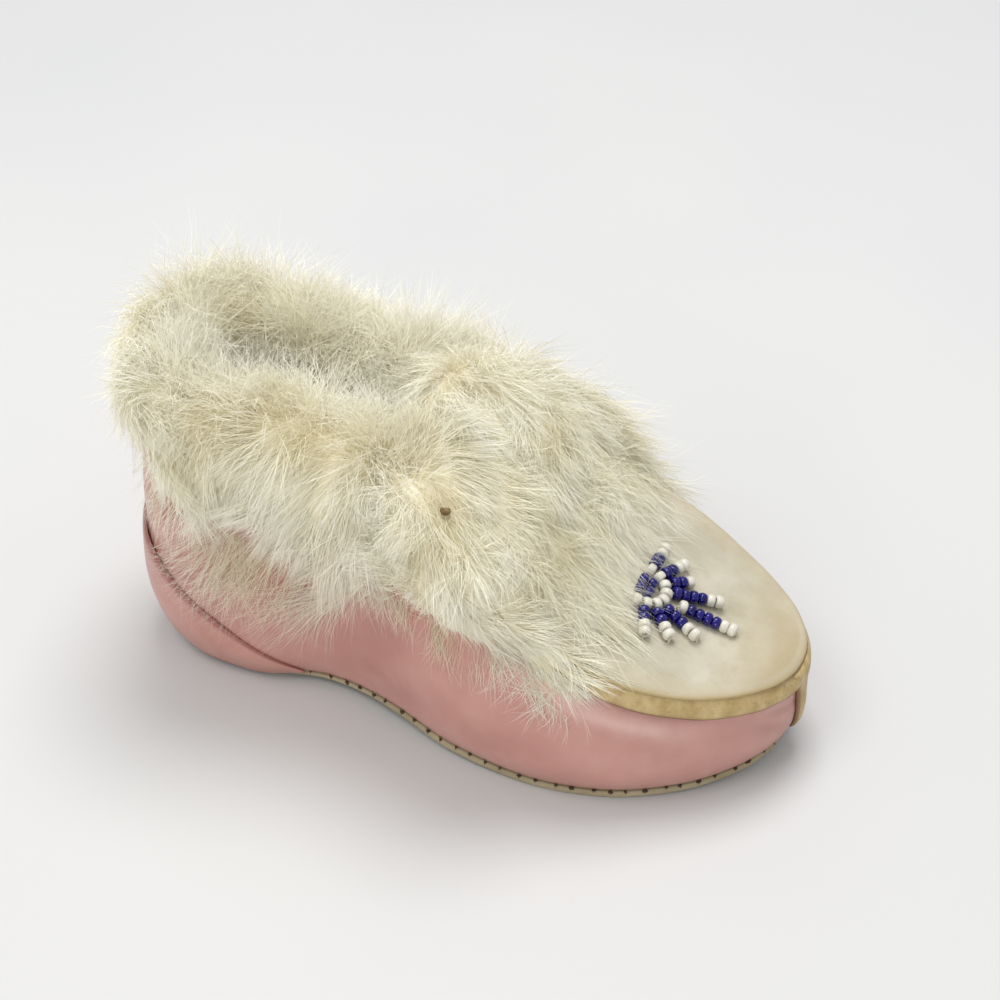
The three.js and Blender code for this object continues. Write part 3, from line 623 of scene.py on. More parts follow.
def closed_spline(points, count):
    """A smooth closed curve through a few points, as an array of count points."""
    points = np.array(points, float)
    s = np.linspace(0, len(points), count, endpoint=False)
    return open_spline(np.vstack([points[-1:], points, points[:2]]), s + 1)


def sizes_at(s):
    """The sizes at stations along the loop: right side from heel to toe, then left side from toe to heel."""
    s = np.asarray(s, float)
    first = np.floor(s).astype(int)
    values = spline(*(LOOP[(first + step) % len(LOOP)] for step in (-1, 0, 1, 2)), (s - first)[..., None])
    sizes = SimpleNamespace(**{name: values[..., i] for i, name in enumerate(LOOP_NAMES)})
    sizes.lift = np.maximum(0, sizes.lift)
    return sizes


def station(s):
    """The sizes at stations, with the outward direction of the outline there."""
    place = sizes_at(s)
    place.s = np.asarray(s, float)
    back = sizes_at(place.s - STATION_REACH)
    ahead = sizes_at(place.s + STATION_REACH)
    length = np.hypot(ahead.x - back.x, ahead.y - back.y)
    place.out_x = (ahead.y - back.y) / length
    place.out_y = (back.x - ahead.x) / length
    return place


def at(place, out, z):
    return vectors_of(place.x + place.out_x * out, place.y + place.out_y * out, z)


def over_rim(place, out, up):
    """Points by their outset from the upper's top edge and their height above it."""
    return at(place, out - place.rim_in, place.rim_z + up)


def wall(place, t):
    """The wall of the upper: a curve from the sole (t = 0) to the top edge (t = 1)."""
    base = place.lift + SOLE_THICKNESS + GAP
    height = place.rim_z - base
    belly_z = base + BELLY_RISE * np.minimum(height, BELLY_LIMIT)
    outs = (place.foot, place.belly, place.shoulder - SHOULDER_PULL * place.rim_in, -place.rim_in)
    ups = (base, belly_z, base + SHOULDER_RISE * height, place.rim_z)
    u = 1 - t
    weights = (u**3, 3 * u * u * t, 3 * u * t * t, t**3)
    slopes = (-3 * u * u, 3 * u * u - 6 * u * t, 6 * u * t - 3 * t * t, 3 * t * t)
    out = sum(w * p for w, p in zip(weights, outs))
    z = sum(w * p for w, p in zip(weights, ups))
    along_out = sum(w * p for w, p in zip(slopes, outs))
    along_up = sum(w * p for w, p in zip(slopes, ups))
    length = np.hypot(along_out, along_up)
    turn = np.minimum(1, (z - base) / FOOT_TURN)
    face_out = 1 + (along_up / length - 1) * turn
    face_up = -along_out / length * turn
    size = np.hypot(face_out, face_up)
    return SimpleNamespace(out=out, z=z, face_out=face_out / size, face_up=face_up / size)


def skin(place, t, outwards):
    """A point of the wall, moved outwards square to the wall."""
    point = wall(place, t)
    return at(place, point.out + point.face_out * outwards, point.z + point.face_up * outwards)


def bisect(low, high, is_below):
    low = np.array(low, float)
    high = np.array(high, float)
    for _ in range(BISECTIONS):
        middle = (low + high) / 2
        below = is_below(middle)
        low = np.where(below, middle, low)
        high = np.where(below, high, middle)
    return (low + high) / 2


def wall_at_height(place, z):
    zeros = np.zeros(np.broadcast(place.x, z).shape)
    return bisect(zeros, zeros + 1, lambda t: wall(place, t).z < z)


def apron_edge(place):
    inset = np.interp(place.x, THROAT_X, (THROAT_INSET, APRON_INSET))
    return at(place, -place.rim_in - inset, place.rim_z + APRON_RISE)


def apron_point(place, part):
    """A point across the apron: part runs from -1 at the near edge to 1 at the other."""
    edge = apron_edge(place)
    rise = place.crown * (1 - part * part)
    return vectors_of(edge[..., 0], -edge[..., 1] * part, edge[..., 2] + rise)


def apron_station(x):
    x = np.asarray(x, float)
    low = np.full(x.shape, float(WAIST))
    return bisect(low, low + TOE_TIP - WAIST, lambda s: apron_edge(station(s))[..., 0] < x)


def apron_height(x, y):
    place = station(apron_station(x))
    edge = apron_edge(place)
    return edge[..., 2] + place.crown * (1 - (y / edge[..., 1]) ** 2)


def apron_normal(x, y):
    reach = 0.5
    slope_x = (apron_height(x + reach, y) - apron_height(x - reach, y)) / (2 * reach)
    slope_y = (apron_height(x, y + reach) - apron_height(x, y - reach)) / (2 * reach)
    return unit(vectors_of(-slope_x, -slope_y, 1.0))


# Mesh building
def grid_faces(rows, columns, wrap_rows=False):
    """Faces between the points of a grid. Its columns form a loop, and its rows do if they wrap."""
    i, j = np.meshgrid(np.arange(rows if wrap_rows else rows - 1), np.arange(columns), indexing="ij")
    next_i = (i + 1) % rows
    next_j = (j + 1) % columns
    corners = (i * columns + j, i * columns + next_j, next_i * columns + next_j, next_i * columns + j)
    return np.stack([corner.ravel() for corner in corners], axis=-1)


def add_object(name, data):
    obj = bpy.data.objects.new(name, data)
    bpy.context.scene.collection.objects.link(obj)
    return obj


def piece(name, points, faces, looks, slot, stands_for=(), values=None, face_looks=None, soft=True):
    """A mesh from points in millimetres, which rides on the shoe."""
    mesh = bpy.data.meshes.new(name)
    places = (np.asarray(points, float).reshape(-1, 3) - (HEEL_REST_X, 0, 0)) * MM
    mesh.from_pydata(places.tolist(), [], [list(face) for face in faces])
    for look in looks:
        mesh.materials.append(look)
    if face_looks is not None:
        mesh.polygons.foreach_set("material_index", np.asarray(face_looks, np.int32))
    for key, value in (values or {}).items():
        value = np.asarray(value, np.float32)
        if key == "tint":
            layer = mesh.color_attributes.new(key, "FLOAT_COLOR", "POINT")
            layer.data.foreach_set("color", np.hstack([value, np.ones((len(value), 1))]).ravel())
        else:
            layer = mesh.attributes.new(key, "FLOAT", "POINT")
            layer.data.foreach_set("value", value.ravel())
    tidy_mesh(mesh, soft)
    obj = add_object(name, mesh)
    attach(obj, BODY)
    if stands_for:
        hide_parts(*stands_for)


def tidy_mesh(mesh, soft):
    """Welds doubled points, turns faces outwards and shades them smooth or flat."""
    work = bmesh.new()
    work.from_mesh(mesh)
    bmesh.ops.remove_doubles(work, verts=work.verts, dist=1e-7)
    bmesh.ops.recalc_face_normals(work, faces=work.faces)
    work.to_mesh(mesh)
    work.free()
    mesh.polygons.foreach_set("use_smooth", np.full(len(mesh.polygons), soft))
    mesh.update()


def loft(rings, looped=False):
    """Points and faces of a solid through rings, closed at both ends unless the rings form a loop."""
    rows, columns = rings.shape[:2]
    faces = grid_faces(rows, columns, wrap_rows=looped).tolist()
    if not looped:
        faces.append(list(range(columns)))
        faces.append(list(range((rows - 1) * columns, rows * columns)))
    return rings.reshape(-1, 3), faces


def circle(sides):
    """Cosines and sines of angles round a circle, as two columns."""
    angle = np.linspace(0, 2 * np.pi, sides, endpoint=False)[:, None]
    return np.cos(angle), np.sin(angle)


def tube(path, radius):
    """Points and faces of a thread along a path, with a flat cap at each end."""
    path = np.asarray(path, float)
    along = unit(np.gradient(path, axis=0))
    across = unit(np.cross(along, TUBE_SIDE))
    third = np.cross(along, across)
    cosine, sine = circle(THREAD_SIDES)
    return loft(path[:, None] + radius * (across[:, None] * cosine + third[:, None] * sine))


def ball_shape(sides=10, rings=6):
    """Points and faces of a unit ball."""
    polar = np.linspace(0, np.pi, rings + 1)[:, None]
    cosine, sine = (column[:, 0] for column in circle(sides))
    points = vectors_of(np.sin(polar) * cosine, np.sin(polar) * sine, np.cos(polar))
    return points.reshape(-1, 3), grid_faces(rings + 1, sides).tolist()


def joined(parts):
    """One list of points and one of faces from several."""
    points = []
    faces = []
    count = 0
    for part_points, part_faces in parts:
        points.append(np.asarray(part_points).reshape(-1, 3))
        faces.extend([[count + corner for corner in face] for face in part_faces])
        count += len(points[-1])
    return np.vstack(points), faces


# Materials
def material(name, **inputs):
    """A material with a Principled shader. Inputs are set by their names, with _ for a space."""
    made = bpy.data.materials.new(name)
    made.use_nodes = True
    shader = made.node_tree.nodes["Principled BSDF"]
    for key, value in inputs.items():
        shader.inputs[key.replace("_", " ")].default_value = value
    return made, made.node_tree, shader


def node(tree, kind, **settings):
    made = tree.nodes.new(kind)
    for key, value in settings.items():
        if key in made.inputs:
            made.inputs[key].default_value = value
        else:
            setattr(made, key, value)
    return made


def feed(tree, value, socket):
    """Links an output to a socket, or sets the socket to a colour or a number."""
    if isinstance(value, bpy.types.NodeSocket):
        tree.links.new(value, socket)
    elif isinstance(value, tuple):
        socket.default_value = (*value, 1)
    else:
        socket.default_value = value


def coordinates(tree):
    return node(tree, "ShaderNodeTexCoord").outputs["Object"]


def noise_texture(tree, size, detail=2.0, roughness=0.5):
    """Noise with features of about the given size in millimetres."""
    made = node(tree, "ShaderNodeTexNoise", Scale=1 / (size * MM), Detail=detail, Roughness=roughness)
    tree.links.new(coordinates(tree), made.inputs["Vector"])
    return made.outputs["Fac"]


def patches(tree, size, detail, low, high, limits=(0.3, 0.7), roughness=0.5):
    """Two colours or two greys in patches of about the given size, blended between the limits of a noise."""
    made = node(tree, "ShaderNodeValToRGB")
    for element, place, colour in zip(made.color_ramp.elements, limits, (low, high)):
        element.position = place
        element.color = (*colour, 1) if isinstance(colour, tuple) else (colour, colour, colour, 1)
    tree.links.new(noise_texture(tree, size, detail, roughness), made.inputs["Fac"])
    return made.outputs["Color"]


def mixed(tree, factor, first, second, blend="MIX"):
    """A mix of two colours. Each is an output or a tuple, and the factor is an output or a number."""
    made = node(tree, "ShaderNodeMix", data_type="RGBA", blend_type=blend)
    for value, index in ((factor, 0), (first, 6), (second, 7)):
        feed(tree, value, made.inputs[index])
    return made.outputs[2]


def product(tree, first, second):
    made = node(tree, "ShaderNodeMath", operation="MULTIPLY")
    feed(tree, first, made.inputs[0])
    feed(tree, second, made.inputs[1])
    return made.outputs[0]


def attribute(tree, name, output="Fac"):
    return node(tree, "ShaderNodeAttribute", attribute_name=name).outputs[output]


def bump(tree, shader, *heights):
    """Bump from several textures, each with its strength and its depth in millimetres."""
    normal = None
    for height, strength, depth in heights:
        made = node(tree, "ShaderNodeBump", Strength=strength, Distance=depth * MM)
        tree.links.new(height, made.inputs["Height"])
        if normal is not None:
            tree.links.new(normal, made.inputs["Normal"])
        normal = made.outputs["Normal"]
    tree.links.new(normal, shader.inputs["Normal"])


def factor_by_height(tree, low, high):
    """A factor that falls from 1 at the low height to 0 at the high one, in millimetres."""
    split = node(tree, "ShaderNodeSeparateXYZ")
    tree.links.new(coordinates(tree), split.inputs[0])
    made = node(tree, "ShaderNodeMapRange", interpolation_type="SMOOTHSTEP")
    limits = {"From Min": low * MM, "From Max": high * MM, "To Min": 1.0, "To Max": 0.0}
    for key, value in limits.items():
        made.inputs[key].default_value = value
    tree.links.new(split.outputs["Z"], made.inputs["Value"])
    return made.outputs["Result"]


def pink_leather():
    made, tree, shader = material("pink_leather", Coat_Weight=0.35, Coat_Roughness=0.3)
    tone = patches(tree, 14, 3, *PINK_TONES)
    worn = mixed(tree, patches(tree, 5, 4, 0.0, 0.35, (0.42, 0.75)), tone, PINK_FADED)
    low = product(tree, factor_by_height(tree, 1, 8), noise_texture(tree, 7, 3))
    stained = mixed(tree, low, worn, PINK_STAINED)
    # A pale band along the shoulder beside the toes, from the "worn" mask: worn leather and a painted
    # highlight.
    rubbed_highlight = product(tree, attribute(tree, "worn"), patches(tree, 4, 4, 0.25, 0.75))
    rubbed_and_highlit = mixed(tree, rubbed_highlight, stained, PINK_RUBBED_HIGHLIGHT)
    # Darker in the crease troughs as painted shade, and along the heel counter's seam.
    crease_shade_and_seam = mixed(tree, attribute(tree, "crease"), rubbed_and_highlit, PINK_CREASE_SHADE_AND_SEAM)
    tree.links.new(crease_shade_and_seam, shader.inputs["Base Color"])
    tree.links.new(patches(tree, 3, 3, 0.34, 0.47), shader.inputs["Roughness"])
    grain = node(tree, "ShaderNodeTexVoronoi", Scale=1 / (0.55 * MM))
    tree.links.new(coordinates(tree), grain.inputs["Vector"])
    bump(tree, shader, (grain.outputs["Distance"], 0.10, 0.08), (noise_texture(tree, 1.8, 3), 0.25, 0.10))
    return made


def apron_suede():
    made, tree, shader = material("suede", Roughness=0.95, Sheen_Weight=0.35, Sheen_Roughness=0.6)
    tone = patches(tree, 9, 4, *SUEDE_TONES, (0.36, 0.64))
    soiled = mixed(tree, patches(tree, 2.6, 4, 0.0, 0.42, (0.52, 0.72), 0.7), tone, SUEDE_SOILED)
    # Darker towards the rolled edges, under the lip and at the toe, from the "edge" mask: painted shade.
    edge = mixed(tree, attribute(tree, "edge"), soiled, SUEDE_EDGE_SHADE)
    tree.links.new(edge, shader.inputs["Base Color"])
    nap = (noise_texture(tree, 0.35, 3, 0.7), 0.35, 0.10)
    bump(tree, shader, nap, (noise_texture(tree, 2.5, 3), 0.3, 0.25))
    return made


def binding_leather():
    made, tree, shader = material("binding_leather", Coat_Weight=0.1, Coat_Roughness=0.4)
    tone = patches(tree, 3, 4, *BINDING_TONES, roughness=0.6)
    specks = patches(tree, 1.1, 5, 0.0, 0.7, (0.54, 0.66), 0.75)
    worn = mixed(tree, product(tree, specks, attribute(tree, "wear")), tone, BINDING_SPECKS)
    # Darker at its seams, with painted seam shadow on top near the toe.
    seam = mixed(tree, attribute(tree, "seam"), worn, BINDING_SEAM_AND_SHADOW)
    tree.links.new(seam, shader.inputs["Base Color"])
    tree.links.new(patches(tree, 4, 3, 0.5, 0.72), shader.inputs["Roughness"])
    bump(tree, shader, (noise_texture(tree, 0.5, 4), 0.4, 0.10), (noise_texture(tree, 2.0, 3), 0.5, 0.25))
    return made


def sole_leather():
    made, tree, shader = material("sole_leather", Roughness=0.85)
    tone = patches(tree, 8, 4, *SOLE_TONES)
    soiled = mixed(tree, patches(tree, 3, 5, 0.0, 0.5, (0.5, 0.72), 0.7), tone, SOLE_DIRT)
    tree.links.new(soiled, shader.inputs["Base Color"])
    bump(tree, shader, (noise_texture(tree, 0.6, 4, 0.7), 0.4, 0.12))
    return made


def two_tones(name, size, detail, tones, **inputs):
    """A material in two tones, in patches of about the given size."""
    made, tree, shader = material(name, **inputs)
    tree.links.new(patches(tree, size, detail, *tones), shader.inputs["Base Color"])
    return made, tree, shader


def lining_leather():
    made, tree, shader = two_tones("lining_leather", 7, 4, LINING_TONES, Roughness=0.92)
    bump(tree, shader, (noise_texture(tree, 0.5, 4, 0.7), 0.4, 0.12))
    return made


def bead_glass(name, tones):
    made, tree, shader = two_tones(name, 1.6, 2, tones, Coat_Weight=0.15, Coat_Roughness=0.06, IOR=1.45)
    tree.links.new(patches(tree, 0.8, 3, 0.12, 0.26), shader.inputs["Roughness"])
    return made


def fur_hair():
    # The hair glows faintly in its own colour: painted light that stands in for light scattered through the
    # fur.
    made, tree, shader = material("fur_hair", Roughness=0.75, Specular_IOR_Level=0.15, Emission_Strength=0.04)
    tone = attribute(tree, "tint", "Color")
    streaked = mixed(tree, 1.0, tone, patches(tree, 2.5, 3, 0.93, 1.0), "MULTIPLY")
    tree.links.new(streaked, shader.inputs["Base Color"])
    # Glow in the hair's own colour: painted light
    tree.links.new(tone, shader.inputs["Emission Color"])
    return made


PINK = pink_leather()
APRON_SUEDE = apron_suede()
BINDING = binding_leather()
SOLE = sole_leather()
LINING = lining_leather()
DARK = two_tones("stitch_dark", 0.4, 2, STITCH_AND_HOLE_SHADE_TONES, Roughness=0.9)[0]
THREAD = two_tones("thread_cream", 0.5, 2, THREAD_TONES, Roughness=0.8)[0]
BLUE_GLASS = bead_glass("blue_glass", BLUE_TONES)
WHITE_GLASS = bead_glass("white_glass", WHITE_TONES)
FUR = fur_hair()
BURR = two_tones("burr", 0.5, 3, BURR_TONES, Roughness=0.9)[0]
FLOOR = two_tones("floor_paper", 120, 2, FLOOR_TONES, Roughness=0.7)[0]


# Leather upper
def crease_depth(s, z):
    """How far the creases move the leather outwards at stations and heights."""
    depth = np.zeros(np.broadcast(s, z).shape)
    for s0, z0, s1, z1, width, height in CREASES:
        along = np.array([(s1 - s0) * STATION_LENGTH, z1 - z0])
        x = ((s - s0 + TOE_TIP) % len(LOOP) - TOE_TIP) * STATION_LENGTH
        part = np.clip((x * along[0] + (z - z0) * along[1]) / (along @ along), 0, 1)
        distance = np.hypot(x - part * along[0], z - z0 - part * along[1])
        fade = np.sin(np.pi * np.interp(part, (0, 1), CREASE_ENDS))
        depth += height * fade * hump(distance, 0, width)
    return depth


def make_upper():
    s = np.linspace(0, len(LOOP), UPPER_STATIONS, endpoint=False)[:, None]
    place = station(s)
    levels = np.linspace(0, 1, UPPER_LEVELS)
    heights = wall(place, levels).z
    free = smooth(0, CREASE_FREE[0], levels) * smooth(0, CREASE_FREE[1], 1 - levels)
    depth = crease_depth(s, heights) * free
    outside = skin(place, levels, depth)
    ways = unit(outside - skin(place, levels, -1))
    outside += uneven(outside, *UPPER_UNEVEN)[..., None] * ways * free[:, None]
    inside = skin(place, np.linspace(1, 0, LINING_LEVELS), -LEATHER)
    rings = np.concatenate([outside, inside], axis=1)
    crease = np.zeros(rings.shape[:2])
    # Painted shade in the troughs of the creases
    crease[:, :UPPER_LEVELS] = np.clip(-depth, 0, CREASE_SHADE_LIMIT) * CREASE_SHADE_STRENGTH
    forward = TOE_TIP - np.abs(s - TOE_TIP)
    # Mask of the pale band below the top edge beside the toes: worn leather and a painted highlight.
    worn = np.zeros(rings.shape[:2])
    worn[:, :UPPER_LEVELS] = hump(place.rim_z - heights, WORN_HIGHLIGHT_DROP, WORN_HIGHLIGHT_WIDTH)
    worn *= band(*WORN_HIGHLIGHT_STATIONS, forward)
    is_lining = np.tile(np.arange(rings.shape[1]) >= UPPER_LEVELS - 1, UPPER_STATIONS)
    piece("upper_leather", *loft(rings, looped=True), [PINK, LINING], "pink_leather", ["upper"],
          {"crease": crease, "worn": worn}, is_lining)


def make_heel_counter():
    s = np.linspace(-COUNTER_END, COUNTER_END, COUNTER_STATIONS)[:, None]
    place = station(s)
    foot = wall(place, 0.0)
    top_z = np.maximum(foot.z + GAP, foot.z + COUNTER_FALL * (COUNTER_END_X - place.x))
    part = 1 - (1 - np.linspace(0, 1, COUNTER_LEVELS)) ** COUNTER_CROWDING
    levels = part * wall_at_height(place, top_z)
    edge = np.clip((part - COUNTER_ROLL) / (1 - COUNTER_ROLL), 0, 1)
    roll = np.sqrt(1 - edge**2) * (1 - partly(*COUNTER_THINNING, part))
    run_out = smooth(COUNTER_END - COUNTER_RUN_OUT, COUNTER_END, np.abs(s))
    thick = OVERLAY * (1 - COUNTER_END_THIN * run_out)
    low_z = place.lift + COUNTER_LOW_Z
    low_z = low_z + (foot.z - low_z - 0.1) * run_out
    low_part, low_thick = np.array(COUNTER_FOOT)
    low = at(place, foot.out + GAP + low_thick * thick, low_z + (foot.z - low_z) * low_part)
    depth = COUNTER_CREASED * crease_depth(s, wall(place, levels).z) * (1 - part) * part
    outside = skin(place, levels, GAP + roll * thick + depth)
    ways = unit(outside - skin(place, levels, 0))
    outside += (uneven(outside, *COUNTER_UNEVEN) * roll * smooth(*COUNTER_SMOOTH, part))[..., None] * ways
    inside = skin(place, levels[:, ::-1], GAP * (1 - partly(*COUNTER_CLOSING, part[::-1])))
    low_inside = at(place, foot.out + GAP, low_z)
    rings = np.concatenate([low, outside, inside, low_inside], axis=1)
    crease = np.zeros(rings.shape[:2])
    crease[:, low.shape[1]:low.shape[1] + COUNTER_LEVELS] = smooth(*COUNTER_SEAM, part)
    piece("heel_counter_leather", *loft(rings), [PINK], "pink_leather", ["heel_counter"], {"crease": crease})


# Trim
def make_toe_strip():
    t = np.linspace(STRIP_LOW, 1, STRIP_LEVELS)[:, None]
    half = STRIP_HALF * (STRIP_FOOT + (1 - STRIP_FOOT) * np.sqrt(t))
    part = np.linspace(-1, 1, STRIP_PLACES)
    up, out, flare, thin = (column[:, None] for column in np.array(STRIP_TOP).T)
    y = np.vstack([half * part, flare * part])
    low = np.full(y.shape, TOE_TIP - 1.0)
    s = bisect(low, low + 2, lambda s: sizes_at(s).y < y)
    on_wall = station(s[:STRIP_LEVELS])
    on_roll = station(s[STRIP_LEVELS:])
    roll = STRIP_RISE * OVERLAY * np.sqrt(1 - np.abs(part) ** 3)

    def layer(rise, ground):
        top = over_rim(on_roll, out + STRIP_ON_ROLL + rise * thin, up)
        return np.concatenate([skin(on_wall, t, ground + rise), top])

    outside = layer(roll, GAP)
    outside[..., 0] += uneven(outside, *STRIP_UNEVEN)
    inside = layer(0 * roll, STRIP_SUNK)[:, ::-1]
    below_top = smooth(*STRIP_SEAM_TOP, np.linspace(0, 1, len(y))[:, None])
    seam = np.hstack([smooth(*STRIP_SEAM, np.abs(part)) * below_top, np.ones(part.shape) * below_top])
    piece("toe_strip_leather", *loft(np.concatenate([outside, inside], axis=1)), [BINDING], "binding_leather",
          ["toe_strip"], {"seam": seam, "wear": np.full(seam.shape, STRIP_WEAR)})


def binding_rings(place, section):
    """Rings of the rolled binding with a given section, and their distances from its middle."""
    rings = over_rim(place, section[:, 0], section[:, 1])
    return rings, rings - over_rim(place, *BINDING_MIDDLE)


def make_apron_binding():
    s = np.linspace(BINDING_END, 2 * TOE_TIP - BINDING_END, BINDING_STATIONS)
    section = closed_spline(BINDING_FACE + BINDING_SECTION[2:], BINDING_SIDES)
    rings, outwards = binding_rings(station(s[:, None]), section)
    rings += uneven(rings, *BINDING_UNEVEN)[..., None] * unit(outwards)
    foot = 1 - smooth(*FOOT_SEAM, section[:, 1])
    back = smooth(*BACK_SEAM, section[:, 0])
    to_toe = hump(s, TOE_TIP, TOE_WEAR)
    # Painted seam shadow on top of the binding, near the toe
    top = np.outer(to_toe, partly(*TOP_SEAM_SHADOW, section[:, 1]))
    seam = np.maximum(np.maximum(foot, back), top)
    wear = np.repeat(LEAST_WEAR + (1 - LEAST_WEAR) * to_toe, BINDING_SIDES)
    piece("apron_binding_leather", *loft(rings), [BINDING], "binding_leather", ["apron_binding"],
          {"seam": seam, "wear": wear})


def lip_shown(s):
    """How much of the lip there is at stations: hardly any under the fur."""
    return LIP_HIDDEN + (1 - LIP_HIDDEN) * smooth(*LIP_START, s)


def lip_rise(s, part):
    """How far the suede swells up towards its lip."""
    return LIP_RISE * lip_shown(s) * np.maximum(smooth(0.0, 1.0, np.abs(part)), smooth(*LIP_TOE, s))


def make_apron():
    s = np.linspace(TOE_TIP, WAIST, APRON_STATIONS)[:, None]
    place = station(s)
    part = np.sin(np.linspace(-np.pi / 2, np.pi / 2, APRON_PLACES))
    top = apron_point(place, part)
    top[..., 2] += lip_rise(s, part)
    lumps = sum(uneven(top, *lump) for lump in APRON_LUMPS)
    lumps = lumps * smooth(*LUMP_EDGE, np.abs(part)) * smooth(*LUMP_TOE, s)
    top[..., 2] += lumps + uneven(top, *APRON_NAP)
    out, up, lip_shade = np.array(APRON_LIP).T
    edge = apron_edge(place)
    lip = edge + (over_rim(place, out, up) - edge) * lip_shown(s)[..., None]
    lip[..., 2] += uneven(lip, *LIP_UNEVEN)
    under = apron_point(place, part[::-1])
    under[..., 2] -= SUEDE
    rings = np.concatenate([top, lip * (1, -1, 1), under, lip[:, ::-1]], axis=1)
    # Painted shade: towards the rolled edges and the toe, and deepest under the lip
    dark = np.zeros(rings.shape[:2])
    dark[:, :APRON_PLACES] = np.maximum(partly(*EDGE_SHADE, np.abs(part)), partly(*TOE_SHADE, s))
    dark[:, APRON_PLACES:APRON_PLACES + len(out)] = lip_shade
    dark[:, -len(out):] = lip_shade[::-1]
    piece("apron_suede", *loft(rings), [APRON_SUEDE], "suede", ["vamp_apron"], {"edge": dark})


# Sole with its stitches along its feather edge: dark thread, and a dark sunken piece in each hole as painted
# shade
def make_outsole():
    s = np.linspace(0, TOE_TIP, SOLE_STATIONS)[:, None]
    place = station(s)
    corner = np.linspace(0, np.pi / 2, 4)
    face_out, face_up = np.array(SOLE_FACE).T
    out = np.concatenate([SOLE_BEVEL * (np.sin(corner) - 1), face_out, SOLE_ROUND * (np.cos(corner) - 1)])
    top = SOLE_THICKNESS + SOLE_ROUND * (np.sin(corner) - 1)
    up = np.concatenate([SOLE_BEVEL * (1 - np.cos(corner)), face_up * SOLE_THICKNESS, top])
    thin = 1 - SOLE_WAIST_THIN * hump(s, *SOLE_WAIST)
    right = at(place, place.edge + out, place.lift + SOLE_THICKNESS - (SOLE_THICKNESS - up) * thin)
    right += uneven(right, *SOLE_UNEVEN)[..., None] * (1, 1, 0)
    left = right[:, ::-1] * (1, -1, 1)
    part = np.linspace(1, -1, SOLE_PLACES + 2)[1:-1, None]
    top = right[:, -1:] * (1, 0, 1) + right[:, -1:] * (0, 1, 0) * part
    bottom = right[:, :1] * (1, 0, 1) - right[:, :1] * (0, 1, 0) * part
    rings = np.concatenate([right, top, left, bottom], axis=1)
    piece("outsole_leather", *loft(rings), [SOLE], "sole_leather", ["outsole"])


def even_stations(first, last, pitch):
    """Stations along the outline a given distance apart."""
    s = np.linspace(first, last, OUTLINE_POINTS)
    place = sizes_at(s)
    length = np.concatenate([[0], np.cumsum(np.hypot(np.diff(place.x), np.diff(place.y)))])
    return np.interp(np.arange(pitch / 2, length[-1], pitch), length, s)


def make_stitches():
    shape, shape_faces = ball_shape()
    up = np.array([0, 0, 1.0])
    rise = np.linspace(*STITCH_THREAD, THREAD_POINTS)[:, None]
    depth, wave, outset = STITCH_BOW
    bow = depth * np.cos(rise * wave) + outset
    hole_shades = []
    threads = []
    for s in even_stations(STITCH_START, 2 * TOE_TIP - STITCH_START, STITCH_PITCH):
        place = station(np.array(s + STITCH_JITTER * rng.uniform(-1, 1)))
        out = np.array([place.out_x, place.out_y, 0])
        along = np.array([-place.out_y, place.out_x, 0])
        size = 1 + STITCH_SIZES * rng.uniform(-1, 1)
        height = SOLE_THICKNESS + STITCH_UP[0] + STITCH_UP[1] * rng.uniform(-1, 1)
        middle = at(place, place.edge + STITCH_OUT, place.lift + height)
        axes = np.array([along, out, up]) * np.array(STITCH_RADII)[:, None] * size
        slant = rng.uniform(-STITCH_SLANT, STITCH_SLANT)
        # A dark blob in the hole: painted shade
        wedge = shape.copy()
        wedge[:, 0] += shape[:, 2] * (slant - STITCH_WEDGE * shape[:, 0])
        hole_shades.append((middle + wedge @ axes, shape_faces))
        tilt = rng.uniform(-STITCH_TILT, STITCH_TILT)
        threads.append(tube(middle + (up + along * tilt) * rise + out * bow, STITCH_THREAD_RADIUS))
    piece("stitch_hole_shades", *joined(hole_shades), [DARK], "sole_leather")
    piece("stitch_threads", *joined(threads), [DARK], "sole_leather")


# Beads and their threads
def bead_rows():
    """Rows of beads: places from the middle of the rosette, the way of the thread, and colours."""
    rows = []
    for degrees, start, chart in ROSETTE_RAYS:
        angle = math.radians(degrees)
        radius = start + BEAD_PITCH * np.arange(len(chart))
        way = np.array([math.cos(angle), math.sin(angle)])
        rows.append((radius[:, None] * way, np.tile(way, (len(chart), 1)), chart))
    angle = np.radians(RING_STEP * (np.arange(RING_BEADS) - (RING_BEADS - 1) / 2))
    ring = RING_RADIUS * vectors_of(np.cos(angle), np.sin(angle))
    rows.append((ring, vectors_of(-np.sin(angle), np.cos(angle)), "w" * RING_BEADS))
    for row in CENTRE_ROWS:
        sides = np.array([[row, -CENTRE_SIDE], [row, CENTRE_SIDE]])
        rows.append((sides, np.array([[1.0, 0], [1.0, 0]]), "bb"))
    return rows


def bead_mesh(centre, axis, normal):
    across = np.cross(axis, normal)
    profile = closed_spline(BEAD_PROFILE, BEAD_PROFILE_POINTS)
    radius = BEAD_RADIUS * (BEAD_SIZE + BEAD_SIZES * rng.uniform(-1, 1))
    cosine, sine = circle(BEAD_SIDES)
    ring = normal * cosine + across * sine
    points = centre + axis * profile[:, :1] * BEAD_STRETCH + ring[:, None] * profile[:, 1:] * radius
    return points.reshape(-1, 3), grid_faces(BEAD_SIDES, len(profile), wrap_rows=True).tolist()


def bead_thread(centre, axis, normal):
    """A thread through a row of beads, which dips into the suede at both ends."""
    first = [centre[0] - along * axis[0] - down * normal[0] for along, down in THREAD_ENDS[::-1]]
    last = [centre[-1] + along * axis[-1] - down * normal[-1] for along, down in THREAD_ENDS]
    path = np.vstack([first, centre, last])
    fine = np.linspace(1, len(path), THREAD_POINTS * len(path))
    padded = np.vstack([path[:1], path, path[-1:]])
    return tube(open_spline(padded, np.minimum(fine, len(path) - 1e-6)), THREAD_RADIUS)


